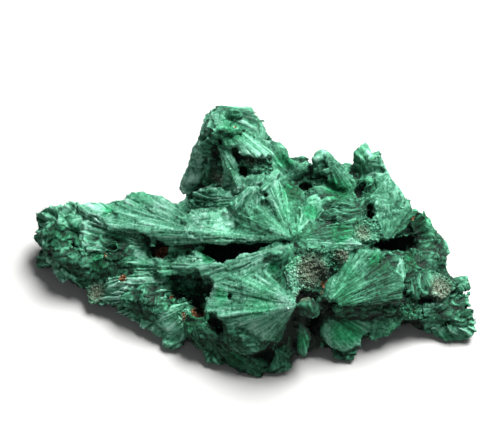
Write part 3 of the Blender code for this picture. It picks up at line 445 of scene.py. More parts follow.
def ring_mesh(grid):
    """Vertices and triangles of a grid of rings whose two ends are each closed by a fan to their middle."""
    rows, columns = grid.shape[:2]
    index = np.arange(rows * columns).reshape(rows, columns)
    after = np.roll(index, -1, axis=1)
    first = np.stack([index[:-1], index[1:], after[1:]], -1).reshape(-1, 3)
    second = np.stack([index[:-1], after[1:], after[:-1]], -1).reshape(-1, 3)
    start = np.full(columns, rows * columns)
    caps = [np.stack([start, index[0], after[0]], -1), np.stack([start + 1, after[-1], index[-1]], -1)]
    vertices = np.vstack([grid.reshape(-1, 3), grid[0].mean(0), grid[-1].mean(0)])
    return vertices, np.vstack([first, second, *caps])


def facing_out(vertices, triangles):
    """The triangles, turned round if the closed shape's signed volume is below zero."""
    corners = vertices[triangles]
    volume = np.einsum("ij,ij->i", corners[:, 0], np.cross(corners[:, 1], corners[:, 2])).sum()
    return triangles[:, ::-1] if volume < 0 else triangles


def sheaf(focus, rim, thickness, finish, tone, start=0.06, seed=0):
    """A closed wedge: rings round its face and underside, scaled up from the focus to the rim, which is ragged
    and ends in a rounded cap. Each point knows its place across and along, its needle's way, and its look."""
    focus = np.array(focus, float)
    back_again = np.linspace(1, 0, UNDERSIDE_COLUMNS + 2)[1:-1]
    across = np.concatenate([np.linspace(0, 1, FACE_COLUMNS), back_again])
    under = np.concatenate([np.zeros(FACE_COLUMNS), np.ones(UNDERSIDE_COLUMNS)])
    edge = spline(rim, across)
    arms = edge - focus
    out = unit(np.cross(arms[: FACE_COLUMNS - 1], arms[1:FACE_COLUMNS]).sum(0))
    inside = np.array([BODY_TAPER * edge[:, 0].mean(), BODY_Y, BODY_Z])
    if out @ (edge.mean(0) - inside) < 0:
        out = -out
    width = np.linalg.norm(np.diff(edge[:FACE_COLUMNS], axis=0), axis=1).sum()
    length = np.linalg.norm(arms, axis=1).mean()
    x = across * width
    ragged = 1 + RIM_RAGGED * smooth_noise(seed, x / 1.8)
    deep = thickness * under * (1 - np.abs(2 * across - 1) ** 4)
    along = np.linspace(start, 1, ROWS)[:, None]
    grid = focus + (along * ragged)[..., None] * arms - (deep * along**0.7)[..., None] * out
    middle = grid[-1].mean(0)
    shrink = np.linspace(1, 0, CAP_ROWS + 2)[1:-1, None, None]
    cap = middle + shrink * (grid[-1] - middle) + unit(middle - focus) * RIM_BULGE * (1 - shrink**2)
    vertices, triangles = ring_mesh(np.concatenate([grid, cap]))
    y = np.append(along[:, 0] * length, length + (1 - shrink[:, 0, 0]) * 2)
    flow = np.stack(np.broadcast_arrays(x[None], y[:, None], 13.7 * seed), -1).reshape(-1, 3)
    needle = np.broadcast_to(unit(arms)[None], (len(y), *arms.shape)).reshape(-1, 3)
    return {
        "vertices": vertices,
        "triangles": facing_out(vertices, triangles),
        "flow": np.vstack([flow, flow[:1], flow[-1:]]),
        "needle": np.vstack([needle, unit(middle - focus), unit(middle - focus)]),
        "finish": np.tile(finish, (len(vertices), 1)),
        "tint": np.full((len(vertices), 3), tone),
    }


def lump(middle, half_sizes, rough, seed, finish=FELT, rings=26, columns=44):
    """An ellipsoid whose radius rises and falls with a smooth noise. Its needles lie along its meridians."""
    up = np.linspace(0, math.pi, rings + 2)[1:-1, None]
    turn = np.linspace(0, 2 * math.pi, columns, endpoint=False)[None, :]
    way = np.stack([np.sin(up) * np.cos(turn), np.sin(up) * np.sin(turn), np.cos(up) + 0 * turn], -1)
    swell = 1 + rough * noise_at(seed, way, 0.4)
    vertices, triangles = ring_mesh(np.array(middle) + way * swell[..., None] * np.array(half_sizes))
    slope = np.stack([np.cos(up) * np.cos(turn), np.cos(up) * np.sin(turn), -np.sin(up) + 0 * turn], -1)
    flow = np.stack(np.broadcast_arrays(turn * half_sizes[0], up * half_sizes[2], 13.7 * seed), -1)
    return {
        "vertices": vertices,
        "triangles": facing_out(vertices, triangles),
        "flow": np.vstack([flow.reshape(-1, 3), flow[0, :1], flow[-1, :1]]),
        "needle": np.vstack([unit(slope).reshape(-1, 3), (1, 0, 0), (1, 0, 0)]),
        "finish": np.tile(finish, (len(vertices), 1)),
        "tint": np.full((len(vertices), 3), LUMP_TONE),
    }


def tufts(middle, half_sizes, count, seed):
    """Small sheaves all over a lump, less those on the side that SHEAVES covers. Their places follow a golden
    spiral, and each lies along the skin, turned its own way, with its rim lifted off it."""
    rng = np.random.default_rng(seed)
    middle, half_sizes = np.array(middle, float), np.array(half_sizes, float)
    made = []
    for i in range(count):
        height = 1 - (2 * i + 1) / count
        turn = i * GOLDEN_ANGLE + seed
        flat = math.sqrt(1 - height**2)
        way = np.array([flat * math.cos(turn), flat * math.sin(turn), height])
        out = unit(way / half_sizes)
        length = rng.uniform(6, 10)
        width = rng.uniform(4, 8)
        lean = rng.uniform(0, 2 * math.pi)
        if out @ SHOWN_SIDE > SHOWN_LIMIT:
            continue
        side = unit(np.cross(out, (0.3, 0.2, 1)))
        along = math.cos(lean) * side + math.sin(lean) * np.cross(out, side)
        across = np.cross(out, along)
        seat = middle + way * half_sizes
        tip = seat + along * 0.5 * length + out * TUFT_LIFT
        rim = [tip - across * width / 2 - along, tip + along * 0.6, tip + across * width / 2 - along]
        focus = seat - along * 0.5 * length - out * TUFT_LIFT
        tone = 0.5 + 0.2 * math.sin(5 * i + seed)
        made.append(sheaf(focus, rim, TUFT_THICKNESS, (FELT, SILK)[i % 2], tone, seed=200 + 40 * seed + i))
    return made


def joined(shapes, keys):
    """One shape of several: their vertices, triangles and values in a row."""
    starts = np.cumsum([0] + [len(shape["vertices"]) for shape in shapes[:-1]])
    made = {key: np.concatenate([shape[key] for shape in shapes]) for key in ("vertices", *keys)}
    made["triangles"] = np.vstack([shape["triangles"] + start for shape, start in zip(shapes, starts)])
    return made


def rolled_over(heights, radius):
    """The heights after a ball of that radius, in cells, has rolled over them: gaps it can't enter are filled.
    The ball's centre goes as low as the heights let it, then its lowest skin over each cell is kept."""
    reach = np.arange(-radius, radius + 1)
    across, along = np.meshgrid(reach, reach)
    inside = across**2 + along**2 <= radius**2
    offsets = np.column_stack([across[inside], along[inside]])
    dips = (radius - np.sqrt(radius**2 - (offsets**2).sum(1))) * BED_CELL
    padded = np.pad(heights, 2 * radius, constant_values=-BED_DEEP)
    raised = np.max([np.roll(padded, tuple(o), (0, 1)) - dip for o, dip in zip(offsets, dips)], 0)
    closed = np.min([np.roll(raised, tuple(o), (0, 1)) + dip for o, dip in zip(offsets, dips)], 0)
    return sloped(closed)[2 * radius : -2 * radius, 2 * radius : -2 * radius]


def sloped(heights):
    """The heights with no wall steeper than the bed's flank: each is at most any near height, or nought,
    plus the flank's rise over the distance between them, less a short retreat."""
    reach = np.arange(-BED_FLANK_REACH, BED_FLANK_REACH + 1)
    across, along = (line.ravel() for line in np.meshgrid(reach, reach))
    rise = BED_FLANK * BED_CELL * np.clip(np.hypot(across, along) - BED_RETREAT, 0, None)
    ground = np.maximum(heights, 0)
    return np.min([np.roll(ground, (u, v), (0, 1)) + up for u, v, up in zip(across, along, rise)], 0)


def block(low, high):
    """A closed box between two corners."""
    x, y, z = np.meshgrid(*zip(low, high), indexing="ij")
    vertices = np.stack([x, y, z], -1).reshape(-1, 3).astype(float)
    sides = ((0, 1, 3, 2), (4, 6, 7, 5), (0, 4, 5, 1), (2, 3, 7, 6), (0, 2, 6, 4), (1, 5, 7, 3))
    triangles = np.array([corner for a, b, c, d in sides for corner in ((a, b, c), (a, c, d))])
    return {"vertices": vertices, "triangles": facing_out(vertices, triangles)}


def bed(shapes):
    """A closed body under the sheaves: its top is what a rolled ball leaves of their heights, sunk a little,
    and its underside half as high. It holds every square cell whose height is above nought."""
    points = np.vstack([shape["vertices"] for shape in shapes] + [
        shape["vertices"][shape["triangles"]].mean(1) for shape in shapes
    ])
    low, high = MAP_LOW, MAP_HIGH
    size = tuple(((high - low) / BED_CELL).astype(int))
    heights = np.full(size, -float(BED_DEEP))
    places = ((points[:, :2] - low) / BED_CELL).astype(int)
    np.maximum.at(heights, (places[:, 0], places[:, 1]), points[:, 2])
    top = rolled_over(heights, BED_BALL) - BED_SINK
    x, y = np.meshgrid(*(low[k] + BED_CELL * (np.arange(size[k]) + 0.5) for k in (0, 1)), indexing="ij")
    upper = np.stack([x, y, np.maximum(top, 1.2)], -1)
    lower = np.stack([x, y, np.clip(0.5 * top, 0.6, None)], -1)
    held = top > 1.5
    cell = held[:-1, :-1] & held[1:, :-1] & held[:-1, 1:] & held[1:, 1:]
    index = np.arange(x.size).reshape(size)
    a, b, c, d = index[:-1, :-1], index[1:, :-1], index[1:, 1:], index[:-1, 1:]
    sheet = np.stack([a, b, c, a, c, d], -1)[cell].reshape(-1, 3)
    walls = []
    framed = np.pad(cell, 1)
    for first, second, beyond in (
        (a, b, framed[1:-1, :-2]), (b, c, framed[2:, 1:-1]), (c, d, framed[1:-1, 2:]), (d, a, framed[:-2, 1:-1])
    ):
        edge = cell & ~beyond
        start, end = first[edge], second[edge]
        walls.append(np.stack([start + x.size, end + x.size, end, start + x.size, end, start], -1).reshape(-1, 3))
    triangles = np.vstack([sheet, sheet[:, ::-1] + x.size, *walls])
    used, triangles = np.unique(triangles, return_inverse=True)
    vertices = np.vstack([upper.reshape(-1, 3), lower.reshape(-1, 3)])[used]
    return {"vertices": vertices, "triangles": facing_out(vertices, triangles.reshape(-1, 3))}


def mesh_object(name, shape, scale=1.0):
    """A mesh object of the shape's triangles."""
    mesh = bpy.data.meshes.new(name)
    triangles = shape["triangles"].astype(np.int32)
    mesh.vertices.add(len(shape["vertices"]))
    mesh.vertices.foreach_set("co", (shape["vertices"] * scale).astype(np.float32).ravel())
    mesh.loops.add(triangles.size)
    mesh.loops.foreach_set("vertex_index", triangles.ravel())
    mesh.polygons.add(len(triangles))
    mesh.polygons.foreach_set("loop_start", np.arange(0, triangles.size, 3, dtype=np.int32))
    mesh.update(calc_edges=True)
    item = bpy.data.objects.new(name, mesh)
    bpy.context.scene.collection.objects.link(item)
    return item


def evaluated_mesh(item):
    """A new mesh of the item with its modifiers applied."""
    bpy.context.view_layer.update()
    return bpy.data.meshes.new_from_object(item.evaluated_get(bpy.context.evaluated_depsgraph_get()))


def store(mesh, key, values):
    """Keeps an array on the mesh's points as a named attribute."""
    kind = "FLOAT_VECTOR" if values.ndim == 2 else "FLOAT"
    field = "vector" if values.ndim == 2 else "value"
    mesh.attributes.new(key, kind, "POINT").data.foreach_set(field, values.astype(np.float32).ravel())


def stored(mesh, key):
    """The vectors kept on the mesh's points under a name."""
    values = np.empty(len(mesh.vertices) * 3, np.float32)
    mesh.attributes[key].data.foreach_get("vector", values)
    return values.reshape(-1, 3).astype(float)


def nearest_values(source, keys):
    """A node group that copies vectors from the nearest place on the source's surface."""
    group = bpy.data.node_groups.new("nearest_values", "GeometryNodeTree")
    group.interface.new_socket("Geometry", in_out="INPUT", socket_type="NodeSocketGeometry")
    group.interface.new_socket("Geometry", in_out="OUTPUT", socket_type="NodeSocketGeometry")
    link = group.links.new
    geometry = group.nodes.new("NodeGroupInput").outputs[0]
    other = group.nodes.new("GeometryNodeObjectInfo")
    other.inputs["Object"].default_value = source
    for key in keys:
        named = group.nodes.new("GeometryNodeInputNamedAttribute")
        named.data_type = "FLOAT_VECTOR"
        named.inputs["Name"].default_value = key
        sample = group.nodes.new("GeometryNodeSampleNearestSurface")
        sample.data_type = "FLOAT_VECTOR"
        link(other.outputs["Geometry"], sample.inputs["Mesh"])
        link(named.outputs["Attribute"], sample.inputs["Value"])
        keep = group.nodes.new("GeometryNodeStoreNamedAttribute")
        keep.data_type = "FLOAT_VECTOR"
        keep.domain = "POINT"
        keep.inputs["Name"].default_value = key
        link(geometry, keep.inputs["Geometry"])
        link(sample.outputs["Value"], keep.inputs["Value"])
        geometry = keep.outputs["Geometry"]
    link(geometry, group.nodes.new("NodeGroupOutput").inputs[0])
    return group


def grown_together(shapes):
    """The skin over all the shapes and their bed, less the hollows: one closed mesh for each slab of the length,
    which laps over the next. Each point gets the values of the nearest place on the shapes."""
    keys = ("flow", "needle", "finish", "tint")
    values = joined(shapes, keys)
    source = mesh_object("shapes", values)
    for key in keys:
        store(source.data, key, values[key])
    body = mesh_object("body", joined([*shapes, bed(shapes)], ()))
    pits = []
    for i, (_, middle, half, times) in enumerate(HOLLOWS):
        for k in range(times):
            deeper = np.array(middle) - k * HOLLOW_DEEPER * half[2] * SHOWN_SIDE
            pits.append(lump(deeper, half, HOLLOW_ROUGHNESS, 70 + i, rings=16, columns=28))
    cutter = mesh_object("pits", joined(pits, ()))
    merge = cutter.modifiers.new("union", "REMESH")
    merge.mode = "VOXEL"
    merge.voxel_size = VOXEL
    slab = mesh_object("slab", block((-1, -1, -1), (1, 1, 1)))
    union = body.modifiers.new("union", "REMESH")
    union.mode = "VOXEL"
    union.voxel_size = UNION_VOXEL
    for name, item, operation in (("pits", cutter, "DIFFERENCE"), ("slab", slab, "INTERSECT")):
        cut = body.modifiers.new(name, "BOOLEAN")
        cut.operation = operation
        cut.solver = "MANIFOLD"
        cut.object = item
    fine = body.modifiers.new("skin", "REMESH")
    fine.mode = "VOXEL"
    fine.voxel_size = VOXEL
    carry = body.modifiers.new("values", "NODES")
    carry.node_group = nearest_values(source, keys)
    meshes = []
    for start, end in SLABS:
        slab.scale = ((end - start) / 2 + SLAB_LAP, 60, 60)
        slab.location = ((start + end) / 2, 0, 0)
        meshes.append(evaluated_mesh(body))
    for item in (source, cutter, slab, body):
        bpy.data.objects.remove(item)
    return meshes


def cells(seed, coordinates):
    """The nearest of the knots that are strewn one to a unit cell. For each point: the way from that knot, how
    much further off the second nearest is, and the knot's own three random numbers."""
    count, axes = coordinates.shape
    table = np.random.default_rng(seed).uniform(0, 1, (CELL_PERIOD,) * axes + (axes + 3,))
    low = np.floor(coordinates).astype(int)
    nearest, second = np.full(count, np.inf), np.full(count, np.inf)
    way, own = np.zeros((count, axes)), np.zeros((count, 3))
    for step in np.ndindex(*(3,) * axes):
        cell = low + np.array(step) - 1
        knot = table[tuple((cell % CELL_PERIOD).T)]
        from_knot = coordinates - cell - knot[:, :axes]
        distance = np.linalg.norm(from_knot, axis=1)
        closer = distance < nearest
        second = np.where(closer, nearest, np.minimum(second, distance))
        nearest = np.where(closer, distance, nearest)
        way[closer], own[closer] = from_knot[closer], knot[closer, axes:]
    return way, second - nearest, own


def relief(points, normals, flow, needle, finish):
    """Height of the skin in mm, how pale it is, and the flow and needle's way of each point. Silk is ribbed along
    its needles and lies in long locks. Ledges are layers side by side, each higher than the last up to a sharp
    edge. Felt is made of tufts, each combed its own way, and covers what is turned away from the shown side.
    Grain adds small knobs that have no direction."""
    x, y, own = flow.T
    layered, felt, grain = finish.T
    turned_away = np.clip(-2.5 * (normals @ SHOWN_SIDE), 0, 1)
    layered, felt = layered * (1 - turned_away), felt + turned_away * (1 - felt)
    silky = 1 - layered - felt
    open_out = np.clip(y / 7, 0.3, 1)
    bent = x + (0.3 + 0.9 * felt + 0.6 * layered) * smooth_noise(1, x / 6, y / 5, own)
    lock_way, lock_gap, lock_own = cells(11, np.column_stack([bent / LOCK_WIDE + own, y / LOCK_LONG + 0.37 * own]))
    lock_crease = np.exp(-lock_gap / 0.14)
    rib = np.abs(smooth_noise(3, bent / 0.75, y / 11, own))
    fine_rib = np.abs(smooth_noise(7, bent / 0.4, y / 7, own))
    rise = lock_way[:, 1] + 0.9 * (lock_own[:, 0] - 0.5)
    silk = 0.18 * rise - 0.1 * lock_crease + 0.17 * rib + 0.13 * fine_rib
    layer = (bent / LAYER_WIDE + 1.5 * smooth_noise(8, x / 6, y / 4, own) + 20) % 1
    layer = np.where(layer < 0.85, layer / 0.85, (1 - layer) / 0.15)
    ledge = 1.2 * (layer - 0.45) * (0.6 + 0.6 * noise_at(13, points, 6)) + 0.25 * rib + 0.12 * fine_rib
    warped = points + 0.6 * np.stack([noise_at(20 + k, points, 1.6) for k in range(3)], -1)
    tuft_way, tuft_gap, tuft_own = cells(12, warped / TUFT_CELL + 60)
    tuft_way = tuft_way * TUFT_CELL
    combed = needle + 1.3 * (2 * tuft_own - 1)
    combed = unit(combed - (combed * normals).sum(1)[:, None] * normals)
    across = np.cross(normals, combed)
    tuft_y = (tuft_way * combed).sum(1)
    tuft_x = (tuft_way * across).sum(1)
    tuft_crease = np.exp(-tuft_gap / 0.15)
    tuft_rib = np.abs(smooth_noise(4, tuft_x / 0.55 + 9, tuft_y / 6 + 30 * tuft_own[:, 0]))
    tuft = 0.2 * tuft_y + 0.25 * (tuft_own[:, 1] - 0.5) - 0.08 * tuft_crease + 0.22 * tuft_rib
    fold = np.abs(noise_at(9, points, 4.5))
    swell = noise_at(5, points, 7)
    knob = np.abs(noise_at(6, points, 0.8))
    height = open_out * (silky * silk + layered * ledge) + felt * tuft
    rough = layered + felt
    height = (1 - 0.7 * grain) * height + (0.25 + 0.6 * rough) * swell + 1.2 * rough * (0.3 - fold)
    height = height + (0.08 + 0.35 * grain) * (knob - 0.35) - 0.1
    # The pale values follow the relief: creases, folds and low ends are darker, and ribs, swells, knobs and raised ends
    # are paler. This is painted shade and painted highlight. The random numbers of each lock and tuft give the stone's
    # own tone.
    pale_silk = 0.42 + 0.08 * lock_way[:, 1] + 0.15 * (lock_own[:, 1] - 0.5) + 0.28 * (rib + fine_rib - 0.6)
    pale_ledge = 0.2 + 0.38 * layer + 0.35 * (rib + fine_rib - 0.6)
    pale_tuft = 0.42 + 0.14 * tuft_y + 0.15 * (tuft_own[:, 2] - 0.5) + 0.35 * (tuft_rib - 0.3)
    pale = silky * (pale_silk - 0.15 * lock_crease) + layered * pale_ledge + felt * (pale_tuft - 0.12 * tuft_crease)
    pale = pale + 0.25 * (knob - 0.35) + 0.12 * swell + 0.3 * rough * (0.3 - fold)
    loose = (felt > 0.4)[:, None]
    flow = np.where(loose, np.column_stack([tuft_x, tuft_y, 90 * tuft_own[:, 0]]), flow)
    return height, np.clip(pale, 0, 1), flow, np.where(loose, combed, needle)


def skin_shape(mesh):
    """The skin's points moved along their normals by the relief, with all that the needles need."""
    count = len(mesh.vertices)
    points, normals = np.empty(count * 3, np.float32), np.empty(count * 3, np.float32)
    mesh.vertices.foreach_get("co", points)
    mesh.vertex_normals.foreach_get("vector", normals)
    points, normals = points.reshape(-1, 3).astype(float), normals.reshape(-1, 3).astype(float)
    mesh.calc_loop_triangles()
    triangles = np.empty(len(mesh.loop_triangles) * 3, np.int32)
    mesh.loop_triangles.foreach_get("vertices", triangles)
    flow, needle, finish, tint = (stored(mesh, key) for key in ("flow", "needle", "finish", "tint"))
    height, pale, flow, needle = relief(points, normals, flow, unit(needle), finish)
    return {
        "vertices": points + height[:, None] * normals,
        "triangles": triangles.reshape(-1, 3),
        "normals": normals,
        "flow": flow,
        "needle": needle,
        "finish": finish,
        "tint": tint,
        "pale": pale,
    }


def strands(skin, pit, count, rng):
    """Closed needles that lie along the skin. Each starts in the skin, keeps to its own slightly stray way, and
    narrows to a tip: a ring of three points, a wider ring, then a point. Felt's are shorter and stray more."""
    _, felt, grain = skin["finish"].T
    shown = 0.35 + 0.65 * np.clip(skin["normals"] @ SHOWN_SIDE + 0.5, 0, 1)
    weight = (1 - 0.93 * grain) * shown * np.clip(1 - 2.5 * pit, 0, 1)
    at = rng.choice(len(weight), count, p=weight / weight.sum())
    seat, normal, needle = (skin[key][at] for key in ("vertices", "normals", "needle"))
    felt = felt[at]
    flat = needle - (needle * normal).sum(1)[:, None] * normal
    lying = np.linalg.norm(flat, axis=1)
    stray = (0.05 + 0.13 * felt)[:, None] * rng.normal(0, 1, (count, 3))
    lift = (0.03 + 0.12 * felt) * rng.uniform(0, 1, count)
    way = unit(flat + 0.25 * needle + stray + lift[:, None] * normal)
    side = unit(np.cross(normal, way))
    up = np.cross(way, side)
    reach = (1.5 + 3.5 * rng.uniform(0, 1, count) ** 1.5) * (0.3 + 0.7 * lying) * (1 - 0.55 * felt)
    wide = rng.uniform(0.05, 0.12, count)
    bend = (reach * (0.02 + 0.12 * felt) * rng.normal(0, 1, count))[:, None] * side
    turn = np.arange(3) * 2 * math.pi / 3 + math.pi / 6
    middle = [seat - 0.12 * normal - (0.45 * reach)[:, None] * way]
    middle.append(middle[0] + (0.5 * reach)[:, None] * way + 0.3 * bend)
    rings = [
        middle[k][:, None]
        + (girth * wide)[:, None, None] * np.cos(turn)[:, None] * side[:, None]
        + (0.8 * girth * wide)[:, None, None] * np.sin(turn)[:, None] * up[:, None]
        for k, girth in enumerate((0.25, 0.5))
    ]
    tip = middle[0] + reach[:, None] * way + bend
    vertices = np.concatenate([*rings, tip[:, None]], 1)
    one = [(0, 1, 4), (0, 4, 3), (1, 2, 5), (1, 5, 4), (2, 0, 3), (2, 3, 5), (3, 4, 6), (4, 5, 6), (5, 3, 6), (0, 2, 1)]
    triangles = (np.array(one)[None] + 7 * np.arange(count)[:, None, None]).reshape(-1, 3)
    pale = skin["pale"][at] + rng.normal(-0.08, 0.1, count)
    # Painted shade on the ring at the root, where the needle goes into the skin, and a painted highlight at its tip.
    pale = pale[:, None] + np.array((-0.1, -0.1, -0.1, 0.0, 0.0, 0.0, 0.04))
    own = np.repeat(rng.uniform(0, 500, (count, 1, 3)), 7, 1)
    own[:, :, 1] += np.array((0, 0, 0, 0.5, 0.5, 0.5, 1)) * reach[:, None]
    return {
        "vertices": vertices.reshape(-1, 3),
        "triangles": triangles,
        "flow": own.reshape(-1, 3),
        "finish": np.repeat(skin["finish"][at], 7, 0),
        "tint": np.repeat(skin["tint"][at], 7, 0),
        "pale": np.clip(pale, 0, 1.2).ravel(),
    }


def grains(skin, count, size, rng):
    """Small eight-sided crumbs on the grainy skin and in the rusty spots."""
    weight = 3 * skin["finish"][:, 2] ** 2 + 9 * in_spots(skin["vertices"], RUST) + 0.02
    at = rng.choice(len(weight), count, p=weight / weight.sum())
    corners = np.array([(1, 0, 0), (-1, 0, 0), (0, 1, 0), (0, -1, 0), (0, 0, 1), (0, 0, -1)], float)
    sides = np.array([(0, 2, 4), (2, 1, 4), (1, 3, 4), (3, 0, 4), (2, 0, 5), (1, 2, 5), (3, 1, 5), (0, 3, 5)])
    turn = unit(rng.normal(0, 1, (count, 3)))
    side = unit(np.cross(turn, rng.normal(0, 1, (count, 3))))
    axes = np.stack([turn, side, np.cross(turn, side)], 1)
    radius = rng.uniform(*size, (count, 1, 1)) * rng.uniform(0.6, 1, (count, 6, 1))
    vertices = skin["vertices"][at][:, None] + radius * (corners @ axes)
    triangles = sides[None] + 6 * np.arange(count)[:, None, None]
    return {
        "vertices": vertices.reshape(-1, 3),
        "triangles": triangles.reshape(-1, 3),
        "flow": np.repeat(rng.uniform(0, 500, (count, 3)), 6, 0),
        "finish": np.repeat(skin["finish"][at], 6, 0),
        "tint": np.repeat(skin["tint"][at], 6, 0),
        "pale": np.clip(np.repeat(skin["pale"][at] + rng.normal(-0.02, 0.15, count), 6), 0, 1),
    }


def sky_map(points):
    """The height of the highest point in each square cell seen from above."""
    places = ((points[:, :2] - MAP_LOW) / MAP_CELL).astype(int)
    heights = np.zeros(tuple(((MAP_HIGH - MAP_LOW) / MAP_CELL).astype(int)))
    np.maximum.at(heights, (places[:, 0], places[:, 1]), points[:, 2])
    return heights


def enclosed(points, heights):
    """How far each point lies in a pit or a crease, from 0 in the open to 1. Across it, the ground on the lower
    of the two sides is what counts, as a slope; it is measured along six lines, near and far. Low down at the
    back, where all stands under an edge, it counts for little."""
    total = np.zeros(len(points))
    for far in (1.2, 2.4, 4.5):
        for turn in np.arange(6) * math.pi / 6:
            sides = []
            for way in (far, -far):
                place = points[:, :2] + way * np.array((math.cos(turn), math.sin(turn)))
                at = np.clip(((place - MAP_LOW) / MAP_CELL).astype(int), 0, np.array(heights.shape) - 1)
                sides.append(heights[at[:, 0], at[:, 1]] - points[:, 2])
            total += np.clip((np.minimum(*sides) / far - 0.15) / 0.8, 0, 1)
    behind = np.clip((points[:, 1] - 9) / 3, 0, 1) * np.clip((24 - points[:, 2]) / 6, 0, 1)
    return total / 18 * (1 - 0.8 * behind)


def in_spots(points, spots):
    """How strongly each point is in one of the spots: 1 at its middle, falling off to 0 at its radius."""
    strength = np.zeros(len(points))
    for middle, radius in spots:
        distance = np.linalg.norm(points - np.array(middle), axis=1) / radius
        strength = np.maximum(strength, np.clip(1.6 * (1 - distance), 0, 1))
    return strength


def drawn_in(points):
    """What stands outside the solid's box is drawn in to a fifth of its way out, and nothing is underground."""
    near = np.clip(points, BOX_LOW, BOX_HIGH)
    near = near + 0.2 * (points - near)
    near[:, 2] = np.maximum(near[:, 2], BOX_LOW[2])
    return near


def make_piece(name, shape, heights, material):
    """A finished piece of the shape, in metres on the origin, with its values as attributes."""
    points = shape["vertices"]
    placed = dict(shape)
    placed["vertices"] = drawn_in(points + CENTRING)
    piece = mesh_object(name, placed, MM)
    mesh = piece.data
    store(mesh, "flow", shape["flow"])
    store(mesh, "pale", shape["pale"])
    store(mesh, "tone", shape["tint"][:, 0])
    # The pit measure, which the material turns into painted shade in pits and creases.
    store(mesh, "pit", enclosed(points, heights))
    store(mesh, "rust", in_spots(points, RUST))
    store(mesh, "dust", in_spots(points, DUST))
    store(mesh, "vivid", in_spots(points, VIVID))
    mesh.shade_smooth()
    mesh.materials.append(material)
    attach(piece, "root")
    return piece


class Nodes:
    """Adds shader nodes to a material and links them."""

    def __init__(self, material):
        material.use_nodes = True
        self.tree = material.node_tree
        self.shader = self.tree.nodes["Principled BSDF"]

    def add(self, kind, inputs=None, **settings):
        node = self.tree.nodes.new(kind)
        for key, value in settings.items():
            setattr(node, key, value)
        for key, value in (inputs or {}).items():
            self.set(node.inputs[key], value)
        return node

    def set(self, socket, value):
        if isinstance(value, bpy.types.NodeSocket):
            self.tree.links.new(value, socket)
        else:
            socket.default_value = value

    def maths(self, operation, first, second=0.0, third=0.0):
        return self.add("ShaderNodeMath", {0: first, 1: second, 2: third}, operation=operation).outputs[0]

    def value(self, name):
        return self.add("ShaderNodeAttribute", attribute_name=name).outputs["Fac"]

    def noise(self, vector, scale, detail=3.0, rough=0.6):
        node = self.add("ShaderNodeTexNoise", {"Vector": vector, "Scale": scale, "Detail": detail, "Roughness": rough})
        return node.outputs["Fac"]

    def mix(self, share, first, second):
        node = self.add("ShaderNodeMix", {0: share}, data_type="RGBA")
        self.set(node.inputs[6], first)
        self.set(node.inputs[7], second)
        return node.outputs[2]

    def ramp(self, share, stops):
        node = self.add("ShaderNodeValToRGB", {0: share})
        elements = node.color_ramp.elements
        while len(elements) < len(stops):
            elements.new(0.5)
        for element, (place, colour) in zip(elements, stops):
            element.position = place
            element.color = (*colour, 1)
        return node.outputs["Color"]


